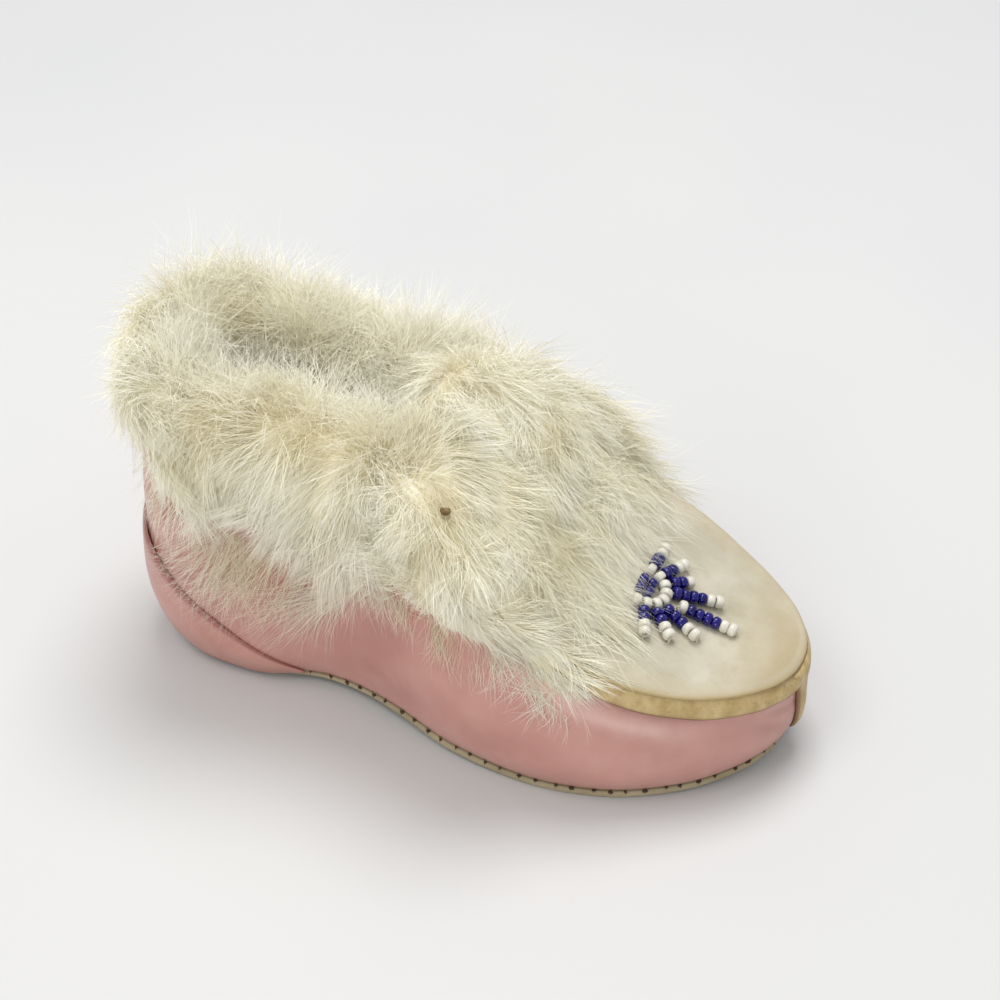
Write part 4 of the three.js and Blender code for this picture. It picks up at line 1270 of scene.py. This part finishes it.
def make_beads():
    names = {"b": "blue", "w": "white"}
    meshes = {"b": [], "w": []}
    nodes = {"b": [], "w": []}
    threads = []
    number = 0
    for places, ways, chart in bead_rows():
        x, y = (ROSETTE + places).T
        s = apron_station(x)
        swell = lip_rise(s, y / apron_edge(station(s))[..., 1])
        normal = apron_normal(x, y)
        centre = vectors_of(x, y, apron_height(x, y) + swell) + normal * BEAD_RISE
        flat = np.hstack([ways, np.zeros((len(ways), 1))])
        axis = unit(flat - normal * (flat * normal).sum(-1, keepdims=True))
        for i, letter in enumerate(chart):
            number += 1
            tilt = BEAD_TILT * rng.normal(size=3)
            tilted = unit(axis[i] + tilt - normal[i] * (tilt @ normal[i]) * BEAD_FLATTENED)
            square = unit(normal[i] - tilted * (normal[i] @ tilted))
            meshes[letter].append(bead_mesh(centre[i], tilted, square))
            nodes[letter].append(f"bead_{names[letter]}_{number:02d}")
        threads.append(bead_thread(centre, axis, normal))
    piece("beads_blue", *joined(meshes["b"]), [BLUE_GLASS], "blue_glass", nodes["b"])
    piece("beads_white", *joined(meshes["w"]), [WHITE_GLASS], "white_glass", nodes["w"])
    piece("bead_threads", *joined(threads), [THREAD], "suede")


# Undercoat of the fur
def bare_part(s):
    """How thin the fur of the cuff is at stations."""
    return sum(strength * hump(s, middle, width) for middle, width, strength in BARE_PLACES)


def tuft_part(s):
    return hump(np.abs(s), TUFT_STATION, TUFT_WIDTH)


def hem_part(s):
    """How far down the undercoat reaches at stations, as a part of its usual hang."""
    flat = vectors_of(s * STATION_LENGTH, 0, 0)
    shorter = BARE_HEM * bare_part(s) + HEM_RAISED * band(*HEM_RAISED_STATIONS, s)
    return 1 - shorter + TUFT_HEM * tuft_part(s) + uneven(flat, *HEM_UNEVEN)


def hem_height(place):
    """Height of the hem of the cuff's undercoat."""
    return place.rim_z + UNDERCOAT_SECTION[0, 1] * hem_part(place.s) * (place.rim_z - place.hem)


def pad_hem_height(place):
    return np.minimum(place.hem + PAD_HEM_RISE, place.rim_z - 1)


def cuff_surface(s, v):
    """The outer face of the cuff's undercoat. v runs from 0 at the hem over the crest to 1 inside."""
    place = station(s)
    section = UNDERCOAT_SECTION
    section = np.vstack([2 * section[0] - section[1], section, 2 * section[-1] - section[-2]])
    out, up = np.moveaxis(open_spline(section, 1 + v * (len(section) - 3) * (1 - 1e-9)), -1, 0)
    heel = 1 - smooth(*HEEL_STATIONS, np.abs(s))
    out = np.where(out > 0, out * (1 - HEEL_THINNING * heel), out)
    up = np.where(up > 0, up * (1 + HEEL_RISE * heel), up)
    up = np.where((up < 0) & (out > 0), up * hem_part(s), up)
    shrink = CUFF_END_SIZE + (1 - CUFF_END_SIZE) * np.sqrt(smooth(0, CUFF_ROUND, CUFF_END - np.abs(s)))
    out = CUFF_CORE[0] + (out - CUFF_CORE[0]) * shrink
    up = np.where(up > CUFF_CORE[1], CUFF_CORE[1] + (up - CUFF_CORE[1]) * shrink, up)
    hang_z = place.rim_z + np.minimum(up, 0) * (place.rim_z - place.hem)
    hang = wall(place, wall_at_height(place, hang_z)).out
    base = np.where(up < 0, hang, -place.rim_in)
    z = np.where(up < 0, hang_z, place.rim_z + up * FUR_CREST)
    return at(place, base + out, z)


def pad_path(place):
    """Points on the wall, binding and apron from the right hem to the left one, with the depth of the fur."""
    hem = wall_at_height(place, pad_hem_height(place))
    side = [skin(place, hem + (1 - hem) * part, 0.0) for part in np.linspace(0, 1, PAD_SIDE_LEVELS)]
    side += [over_rim(place, *BINDING_SECTION[i]) for i in (1, 3)]
    top = [apron_point(place, part) for part in PAD_ACROSS]
    across = [point * (1, -1, 1) for point in side[::-1]]
    depths = np.array([*PAD_SIDE_DEPTHS, *[1] * len(top), *PAD_SIDE_DEPTHS[::-1]])
    return np.stack(side + top + across), depths


def pad_surface(s, v, depth_part=PAD_DEPTH):
    """A face of the instep pad's undercoat. v runs from 0 at the right hem to 1 at the left one."""
    place = station(s)
    path, depths = pad_path(place)
    axis = vectors_of(path[..., 0], 0, PAD_AXIS * place.rim_z)
    depth = depths.reshape(-1, *[1] * s.ndim) * depth_part * place.pile * np.interp(s, *PAD_TAPER)
    path = path + unit(path - axis) * np.maximum(2 * GAP, depth)[..., None]
    on_path = v * (len(path) - 1)
    first = np.clip(np.floor(on_path).astype(int), 0, len(path) - 2)
    t = (on_path - first)[..., None]
    index = np.indices(first.shape)
    return path[(first, *index)] * (1 - t) + path[(first + 1, *index)] * t


def cuff_flow(s, v):
    """Distances across and along the lie of the cuff's hair, which hangs down and back."""
    along = v * CUFF_GIRTH
    most, set_in, girth_part = CUFF_LEAN
    lean = most * np.clip(s / set_in, -1, 1)
    return s * STATION_LENGTH - lean * np.minimum(along, girth_part * CUFF_GIRTH), along


def pad_flow(s, v):
    """Distances across and along the lie of the instep pad's hair, which runs forward and down its sides."""
    along = (s - PAD_BACK) * PAD_STATION
    return v * PAD_GIRTH - PAD_LEAN * (2 * v - 1) * along, along


def lock_relief(across, along):
    """Height of the locks: rounded ridges along the lie of the hair, with sharp furrows between them."""
    across = across + uneven(vectors_of(across, along, 0.0), *LOCK_WANDER)
    relief = 0
    for seed, (width, length, rise) in enumerate(LOCKS):
        ridges = np.abs(noise(vectors_of(across / width, along / length, 0.0), 1, LOCK_SEED + seed))
        relief = relief + rise * (2 * ridges - LOCK_LEVEL)
    return relief


def surface_grid(surface, flow, s, v):
    """Points and outward directions of a fur surface on a grid, with its mounds and locks."""
    grid_s, grid_v = np.meshgrid(s, v, indexing="ij")
    points = surface(grid_s, grid_v)
    normals = unit(np.cross(np.gradient(points, axis=0), np.gradient(points, axis=1)))
    locks = lock_relief(*flow(grid_s, grid_v))
    edge = smooth(0, UNDERCOAT_EDGE[0], np.minimum(grid_v, 1 - grid_v))
    edge = edge * smooth(0, UNDERCOAT_EDGE[1], np.minimum(grid_s - s[0], s[-1] - grid_s))
    points = points + normals * ((uneven(points, *MOUNDS) + locks) * edge)[..., None]
    return SimpleNamespace(s=grid_s, v=grid_v, points=points, normals=normals, locks=locks)


def stain_and_shade_at(points):
    """How yellow the fur is at points: yellowed patches, and painted shade in its hollows."""
    stain_and_shade = partly(*PATCH_STRENGTH, uneven(points, *STAIN_PATCHES))
    # Round patches: yellowed fur, and painted shade in the hollows of the fur
    for *middle, radius, strength in FUR_STAINS_AND_HOLLOW_SHADE:
        distance = np.linalg.norm(points - middle, axis=-1)
        stain_and_shade = np.maximum(stain_and_shade, strength * hump(distance, 0, radius))
    return stain_and_shade


def fur_colour(points, part):
    """Colour of the fur at points, where part runs from 0 at the root to 1 at the tip."""
    colour = ROOT_COLOUR + (TIP_COLOUR - ROOT_COLOUR) * smooth(0.0, TIP_START, part)[..., None]
    # Yellowed patches and painted shade in the hollows, fading towards the tip
    stain_and_shade = (stain_and_shade_at(points) * (1 - (1 - STAIN_AND_SHADE_AT_TIP) * part))[..., None]
    return colour + (STAIN_AND_SHADE_COLOUR - colour) * stain_and_shade


def make_undercoat(name, grid, inner, node_name):
    """The dense fur as one closed piece: its outer face, and an inner face that lies on the leather."""
    rings = np.concatenate([grid.points, inner], axis=1)
    points, faces = loft(rings)
    part = np.zeros(rings.shape[:2])
    # Nearer the root colour in the furrows and the tip colour on the ridges: painted shade and light by the
    # height of the locks
    part[:, :grid.locks.shape[1]] = FURROW_SHADE_TINT + partly(*RIDGE_LIGHT_TINT, grid.locks)
    tint = UNDERCOAT_SHADE * fur_colour(points, part.ravel())
    piece(name, points, faces, [FUR], "fur", [node_name], {"tint": tint})


def cuff_lining(s):
    """The inner face of the cuff: over the upper's top edge and down its outside to the hem."""
    place = station(s[:, None])
    over = over_rim(place, -LEATHER - GAP, 2 * GAP)
    rim = over_rim(place, GAP, 2 * GAP)
    hem = wall_at_height(place, hem_height(place))
    side = skin(place, hem + (1 - hem) * np.linspace(*CUFF_LINING), GAP)
    return np.concatenate([over, rim, side], axis=1)


def pad_lining(s):
    """The inner face of the instep pad, just off the leather."""
    grid_s, grid_v = np.meshgrid(s, np.linspace(1, 0, PAD_LINING_PLACES), indexing="ij")
    return pad_surface(grid_s, grid_v, 0.0)


# Hairs
def scatter(grid, count, weight):
    """Random roots over a fur surface, spread by area and weight."""
    cells = grid.points
    edge_s = cells[1:, :-1] - cells[:-1, :-1]
    edge_v = cells[:-1, 1:] - cells[:-1, :-1]
    area = np.linalg.norm(np.cross(edge_s, edge_v), axis=-1) * weight(grid)[:-1, :-1]
    chosen = rng.choice(area.size, count, p=(area / area.sum()).ravel())
    i, j = np.unravel_index(chosen, area.shape)
    a, b = rng.random((2, count, 1))

    def between(values):
        low = values[i, j] * (1 - a) + values[i + 1, j] * a
        high = values[i, j + 1] * (1 - a) + values[i + 1, j + 1] * a
        return low * (1 - b) + high * b

    return SimpleNamespace(
        s=between(grid.s[..., None])[:, 0],
        v=between(grid.v[..., None])[:, 0],
        point=between(grid.points),
        normal=unit(between(grid.normals)),
        along_s=unit(between(np.gradient(grid.points, axis=0))),
        along_v=unit(between(np.gradient(grid.points, axis=1))),
    )


def cuff_comb(root):
    """Lie of the cuff's hairs: down and back outside, upright on the crest, over the opening inside."""
    v = root.v + uneven(root.point, *COMB_UNEVEN)
    reach = np.abs(root.s)
    heel = 1 - smooth(*HEEL_REACH, reach)
    outside = smooth(*CUFF_OUTSIDE, v)
    near = smooth(*NEAR_STATIONS, root.s) * band(*NEAR_CREST, v)
    rise = np.interp(v, *CUFF_OUTWARDS) * (1 - HEEL_FLATTER * heel * outside)
    back = np.interp(reach, *CUFF_BACK) * smooth(*CUFF_LEANING, v)
    lift = partly(*INSIDE_LIFT, v) + NEAR_LIFT * near
    way = root.along_v * np.interp(v, *CUFF_ALONG)[:, None] + root.normal * rise[:, None]
    way += np.outer(back, (-1, 0, 0)) + np.outer(lift, (0, 0, 1))
    high = outside * smooth(*CUFF_ABOVE_HEM, v)
    crest = band(*CUFF_CREST, v)
    tufts = TUFT_LONGER * tuft_part(root.s) - BARE_SHORTER * bare_part(root.s)
    length = np.interp(v, *CUFF_LENGTHS) * (1 - HEEL_SHORTER * heel * high + HEEL_CREST_LONGER * heel * crest)
    length = length * (1 + NEAR_LONGER * near) * (1 + tufts * smooth(*CUFF_LOW, v))
    ragged = 1 - smooth(*CUFF_RAGGED, v)
    return SimpleNamespace(way=way, length=length, fluff=np.interp(v, *CUFF_FLUFF), ragged=ragged)


def pad_comb(root):
    """Lie of the instep pad's hairs: back at the throat, forward over the apron and down at its sides."""
    side = 2 * root.v - 1
    forward = np.interp(root.s, *PAD_FORWARD)
    down = np.interp(side, *PAD_DOWN)
    rise = np.interp(root.s, *PAD_OUTWARDS) * (1 - PAD_SIDE_FLATTER * np.abs(side))
    rise = rise + partly(*PAD_FAR_RISE, side)
    way = root.along_s * forward[:, None] + root.along_v * down[:, None] + root.normal * rise[:, None]
    length = np.interp(root.s, *PAD_LENGTHS) * np.interp(side, *PAD_LONGER)
    fluff = np.full(len(length), PAD_FLUFF)
    ragged = 1 - smooth(*PAD_RAGGED, 1 - np.abs(side))
    return SimpleNamespace(way=way, length=length, fluff=fluff, ragged=ragged)


def cuff_fullness(grid):
    ends = 1 + partly(*CUFF_END_FULLNESS, CUFF_END - np.abs(grid.s))
    return ends * np.interp(grid.v, *CUFF_FULLNESS)


def pad_fullness(grid):
    throat = partly(*PAD_BACK_FULLNESS, grid.s - PAD_BACK)
    return 1 + throat + partly(*PAD_FRONT_FULLNESS, PAD_FRONT - grid.s)


def nearest(points, centres):
    tree = KDTree(len(centres))
    for i, centre in enumerate(centres):
        tree.insert(centre, i)
    tree.balance()
    return np.array([tree.find(point)[1] for point in points])


def body_samples():
    """Points on the leather, binding and suede under the fur, with their outward directions."""
    s = np.linspace(-BODY_END, BODY_END, LEATHER_SAMPLES[0])[:, None]
    side = station(s)
    levels = np.linspace(0, 1, LEATHER_SAMPLES[1])
    face = (GAP + OVERLAY) * (np.abs(s) < COUNTER_END)
    leather = skin(side, levels, face)
    ahead = np.linspace(BINDING_END, BODY_END, ROLL_SAMPLES[0])
    roll_place = station(np.concatenate([-ahead[::-1], ahead])[:, None])
    roll, roll_ways = binding_rings(roll_place, closed_spline(BINDING_SECTION, ROLL_SAMPLES[1]))
    suede_place = station(np.linspace(WAIST, BODY_END, SUEDE_SAMPLES[0])[:, None])
    suede = apron_point(suede_place, np.linspace(-1, 1, SUEDE_SAMPLES[1]))
    points = (leather, roll, suede)
    ways = (skin(side, levels, face + 1) - leather, roll_ways, np.broadcast_to(SUEDE_WAY, suede.shape))
    points, ways = (np.vstack([rows.reshape(-1, 3) for rows in group]) for group in (points, ways))
    return points, unit(ways)


BODY_POINTS, BODY_WAYS = body_samples()


def keep_clear(curves):
    """Moves hair points that lie in the leather out to its face, and bends back those that reach too far."""
    points = curves[:, 1:].reshape(-1, 3)
    index = nearest(points, BODY_POINTS)
    offset = points - BODY_POINTS[index]
    outside = (offset * BODY_WAYS[index]).sum(-1)
    aside = np.linalg.norm(offset - outside[:, None] * BODY_WAYS[index], axis=-1)
    short = np.maximum(0, HAIR_CLEARANCE - outside) * (outside > -BODY_DEPTH) * (aside < BODY_ASIDE)
    points = points + BODY_WAYS[index] * short[:, None]
    points[:, 1] -= SIDE_BEND * np.maximum(0, points[:, 1] - SIDE_REACH)
    points[:, 2] -= TOP_BEND * np.maximum(0, points[:, 2] - TOP_REACH)
    points[:, 2] = np.maximum(points[:, 2], HAIR_CLEARANCE)
    return np.concatenate([curves[:, :1], points.reshape(len(curves), -1, 3)], axis=1)


def groups(points, size):
    """For each point, the index of the point in the middle of its group."""
    middles = rng.permutation(len(points))[:max(1, len(points) // size)]
    return middles[nearest(points, points[middles])]


def grow_hairs(root, lie):
    """Curves of the hairs, drawn together in wisps and locks, clear of the leather."""
    count = len(lie.length)
    normal = root.normal
    lock = groups(root.point, LOCK_HAIRS)
    wisp = groups(root.point, WISP_HAIRS)
    swirl = vectors_of(*(noise(root.point, SWIRL_SIZE, SWIRL_SEED + axis) for axis in range(3)))
    loose = rng.random(count) < FLYAWAY_SHARE

    def spread():
        return rng.normal(size=(count, 3))

    def outwards(vectors):
        return (vectors * normal).sum(-1)

    turn = SWIRL_TURN * swirl + LOCK_TURN * spread()[lock] + WISP_TURN * spread()[wisp]
    turn += np.where(loose, FLYAWAY_TURN, lie.fluff)[:, None] * spread()
    turn -= normal * (outwards(turn) * np.where(loose, *FLATTENED))[:, None]
    way = unit(lie.way + turn + normal * (FLYAWAY_RISE * loose)[:, None])
    way = unit(way - normal * np.minimum(0, outwards(way) - LEAST_RISE)[:, None])
    length = lie.length * rng.uniform(*LOCK_LENGTHS, count)[lock] * rng.uniform(*HAIR_LENGTHS, count)
    length = length * (1 + lie.ragged * rng.uniform(*RAGGED_LENGTHS, count)[lock])
    curl = WISP_CURL * spread()[wisp] + LOCK_CURL * spread()[lock]
    curl += FLUFF_CURL * lie.fluff[:, None] * spread()
    bend = curl - normal * (SETTLING * outwards(way) * ~loose)[:, None] + SAG
    t = HAIR_TIMES[None, :, None]
    curves = root.point[:, None] + length[:, None, None] * (way[:, None] * t + bend[:, None] * t**2)
    hold = (WISP_HOLD - lie.fluff + WISP_HOLD_RAGGED * lie.ragged) * rng.uniform(*WISP_HOLDS, count)
    hold = np.where(loose, FLYAWAY_HOLD, hold)
    curves = curves + (curves[wisp] - curves) * hold[:, None, None] * t**WISP_GATHER
    hold = np.where(loose, 0.0, rng.uniform(*LOCK_HOLDS, count) * (1 + LOCK_HOLD_RAGGED * lie.ragged))
    curves = curves + (curves[lock] - curves) * hold[:, None, None] * t**LOCK_GATHER
    return keep_clear(curves)


def coat(grid, count, under_count, fullness, comb):
    """Curves of long hairs over a fur surface and of short ones between them, with their roots."""
    root = scatter(grid, count, fullness)
    curves = grow_hairs(root, comb(root))
    under = scatter(grid, under_count, lambda cells: np.ones(cells.s.shape))
    lie = comb(under)
    lie.length = UNDERFUR_LENGTH * rng.uniform(*UNDERFUR_LENGTHS, under_count)
    lie.fluff = lie.fluff + UNDERFUR_FLUFF
    curves = np.concatenate([curves, grow_hairs(under, lie)])
    roots = SimpleNamespace(s=np.concatenate([root.s, under.s]), v=np.concatenate([root.v, under.v]))
    return curves, roots


def bunches(count):
    return rng.integers(0, count // FRINGE_BUNCH, count)


def fringe_curves(bunch, s, root_z, toward_heel, length):
    """Curves of fine hairs on the leather, from stations and heights, leaning by angles in radians."""
    count = len(s)
    angle = toward_heel[bunch] + STRAY_ANGLE * rng.normal(size=count)
    bend = rng.uniform(*FRINGE_BEND, count)[bunch] + STRAY_BEND * rng.normal(size=count)
    stand = rng.uniform(*FRINGE_STAND, count)
    points = []
    for t in HAIR_TIMES:
        here = station(s - np.sign(s) * length * np.sin(angle + bend * t) * t / STATION_LENGTH)
        z = np.maximum(here.lift + FRINGE_LOWEST, root_z - length * np.cos(angle + bend * t) * t)
        points.append(skin(here, wall_at_height(here, z), HAIR_CLEARANCE + stand * t))
    return keep_clear(np.stack(points, axis=1))


def veil_curves():
    """Curves of fine hairs from the front of the instep pad, which lie over the first beads."""
    count = VEIL_HAIRS
    bunch = bunches(count)
    x = rng.uniform(*VEIL_X, count)[bunch] + rng.normal(size=count)
    y = rng.uniform(*VEIL_Y, count)[bunch] + rng.normal(size=count)
    angle = rng.normal(*VEIL_ANGLE, count)[bunch] + STRAY_ANGLE * rng.normal(size=count)
    bend = VEIL_BEND * rng.normal(size=count)
    length = rng.uniform(*VEIL_LENGTHS, count)
    height = rng.uniform(*VEIL_HEIGHT, count)
    points = []
    for t in HAIR_TIMES:
        along = x + length * np.cos(angle + bend * t) * t
        across = y + length * np.sin(angle + bend * t) * t
        points.append(vectors_of(along, across, apron_height(along, across) + height))
    return np.stack(points, axis=1)


def make_fringe():
    """Fine loose hairs on the leather below the hems of the fur."""
    curves = []
    for count, first, last, lean, longest, drop in FRINGES:
        bunch = bunches(count)
        s = rng.uniform(first, last, count)[bunch] + FRINGE_SPREAD * rng.normal(size=count)
        root_z = hem_height(station(s)) - drop + FRINGE_ROOTS * rng.random(count)
        length = longest * rng.uniform(*BUNCH_LENGTHS, count)[bunch] * rng.uniform(*FRINGE_LENGTHS, count)
        curves.append(fringe_curves(bunch, s, root_z, rng.normal(lean, FRINGE_LEAN_SPREAD, count), length))
    count = PAD_FRINGE_HAIRS
    bunch = bunches(count)
    s = rng.uniform(*PAD_FRINGE_STATIONS, count)
    s = (s * np.where(rng.random(count) < PAD_FRINGE_RIGHT, 1, -1))[bunch]
    s = s + FRINGE_SPREAD * rng.normal(size=count)
    root_z = pad_hem_height(station(s)) - PAD_FRINGE_ROOTS * rng.random(count)
    toward_heel = rng.normal(*PAD_FRINGE_LEAN, count)
    curves.append(fringe_curves(bunch, s, root_z, toward_heel, rng.uniform(*PAD_FRINGE_LENGTHS, count)))
    make_hairs("fur_fringe", np.concatenate([*curves, veil_curves()]), FRINGE_RADIUS)


def hair_faces(rings):
    """Triangles of one hair: root cap, sides and tip."""
    faces = [[0, 2, 1]]
    tip = rings * HAIR_SIDES
    for low in range(0, tip, HAIR_SIDES):
        high = low + HAIR_SIDES
        for i in range(HAIR_SIDES):
            j = (i + 1) % HAIR_SIDES
            if high == tip:
                faces.append([low + i, low + j, tip])
            else:
                faces += [[low + i, low + j, high + j], [low + i, high + j, high + i]]
    return np.array(faces)


def make_hairs(name, curves, radius=HAIR_RADIUS):
    """One mesh of many hairs, each a closed three-sided spike."""
    count = len(curves)
    rings = len(HAIR_WIDTHS)
    along = unit(np.gradient(curves, axis=1))
    across = unit(np.cross(along, rng.normal(size=(count, 1, 3))))
    third = np.cross(along, across)
    cosine, sine = circle(HAIR_SIDES)
    thick = radius * rng.uniform(*HAIR_RADII, count)
    width = (thick[:, None] * HAIR_WIDTHS)[:, :, None, None]
    ring = across[:, :rings, None] * cosine + third[:, :rings, None] * sine
    body = curves[:, :rings, None] + width * ring
    points = np.concatenate([body.reshape(count, -1, 3), curves[:, -1:]], axis=1)
    faces = hair_faces(rings) + (np.arange(count) * points.shape[1])[:, None, None]
    part = np.append(np.repeat(HAIR_TIMES[:rings], HAIR_SIDES), 1.0)
    shade = rng.uniform(*HAIR_SHADES, count)[:, None, None]
    thin = smooth(*THIN_X, curves[:, 0, 0])[:, None, None]
    low = smooth(*LOW_Z, points[..., 2:]) * (1 - thin)
    colour = fur_colour(points, np.broadcast_to(part, points.shape[:2])) * shade
    colour = colour * (1 - thin * (1 - THIN_COLOUR)) * (1 - low * (1 - LOW_COLOUR))
    tint = {"tint": colour.reshape(-1, 3)}
    piece(name, points, faces.reshape(-1, 3).tolist(), [FUR], "fur", values=tint, soft=False)


def over_burr(curves):
    """Which hairs would lie over the burr, where the fur is parted."""
    first, middle, last = np.moveaxis(curves - BURR_PLACE, 1, 0)
    covers = np.zeros(len(curves), bool)
    for t in np.linspace(0, 1, BURR_STEPS):
        for start, end in ((first, middle), (middle, last)):
            place = start * (1 - t) + end * t
            height = place @ BURR_OUTWARDS
            aside = np.linalg.norm(place - height[:, None] * BURR_OUTWARDS, axis=-1)
            covers |= (aside < BURR_PARTING) & (height > -BURR_DEPTH)
    return covers


def make_fur():
    cuff_s = np.linspace(-CUFF_END, CUFF_END, CUFF_GRID[0])
    cuff = surface_grid(cuff_surface, cuff_flow, cuff_s, np.linspace(0, 1, CUFF_GRID[1]))
    make_undercoat("fur_cuff_undercoat", cuff, cuff_lining(cuff_s), "fur_cuff")
    pad_s = np.linspace(PAD_BACK, PAD_FRONT, PAD_GRID[0])
    pad = surface_grid(pad_surface, pad_flow, pad_s, np.linspace(0, 1, PAD_GRID[1]))
    make_undercoat("fur_pad_undercoat", pad, pad_lining(pad_s), "fur_pad")
    curves, roots = coat(cuff, CUFF_HAIRS, CUFF_UNDERFUR, cuff_fullness, cuff_comb)
    is_back = np.abs(roots.s) < BACK_STATION
    make_hairs("fur_back", curves[is_back])
    make_hairs("fur_right", curves[~is_back & (roots.s > 0)])
    make_hairs("fur_left", curves[~is_back & (roots.s < 0)])
    curves, roots = coat(pad, PAD_HAIRS, PAD_UNDERFUR, pad_fullness, pad_comb)
    is_right = roots.v < 0.5
    make_hairs("fur_instep_right", curves[is_right & ~over_burr(curves)])
    make_hairs("fur_instep_left", curves[~is_right])
    make_fringe()


def make_burr():
    shape, faces = ball_shape(*BURR_SIDES)
    points = BURR_PLACE + shape * BURR_SIZE * (1 + uneven(shape, *BURR_UNEVEN))[:, None]
    piece("fur_burr", points, faces, [BURR], "fur")


# Insole, which keeps its solid
def finish_insole():
    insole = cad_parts["insole"]
    insole.data.materials.clear()
    insole.data.materials.append(LINING)


# Floor, lights and camera
def aim(obj, place, way):
    """Puts a light or camera at a place in metres, looking along a way."""
    obj.location = place
    obj.rotation_mode = "QUATERNION"
    obj.rotation_quaternion = way.to_track_quat("-Z", "Y")


def make_stage():
    mesh = bpy.data.meshes.new("floor")
    mesh.from_pydata([(x * FLOOR_HALF, y * FLOOR_HALF, 0) for x, y in FLOOR_CORNERS], [], [(0, 1, 2, 3)])
    mesh.materials.append(FLOOR)
    add_object("floor", mesh)
    world = bpy.data.worlds.new("studio")
    world.use_nodes = True
    sky = world.node_tree.nodes["Background"]
    sky.inputs["Color"].default_value = SKY_COLOUR
    sky.inputs["Strength"].default_value = SKY_STRENGTH
    bpy.context.scene.world = world
    bpy.context.scene.view_settings.view_transform = "Standard"
    for name, place, size, power in LIGHTS:
        light = bpy.data.lights.new(name, "AREA")
        light.shape = "DISK"
        light.size = size
        light.energy = power
        light.color = LIGHT_COLOUR
        aim(add_object(name, light), place, LIGHT_AIM - Vector(place))


def make_camera():
    azimuth = math.radians(CAMERA_AZIMUTH)
    elevation = math.radians(CAMERA_ELEVATION)
    level = math.cos(elevation)
    back = Vector((math.sin(azimuth) * level, -math.cos(azimuth) * level, math.sin(elevation)))
    target = (Vector(CAMERA_TARGET) - Vector((HEEL_REST_X, 0, 0))) * MM
    data = bpy.data.cameras.new("camera")
    data.sensor_width = SENSOR
    data.lens = SENSOR * FOCAL_PIXELS / FRAME_PIXELS
    data.clip_start = CAMERA_NEAR
    camera = add_object("camera", data)
    aim(camera, target + back * CAMERA_DISTANCE * MM, -back)
    bpy.context.scene.camera = camera


make_camera()
make_stage()
make_outsole()
finish_insole()
make_upper()
make_heel_counter()
make_toe_strip()
make_apron_binding()
make_apron()
make_stitches()
make_beads()
make_fur()
make_burr()
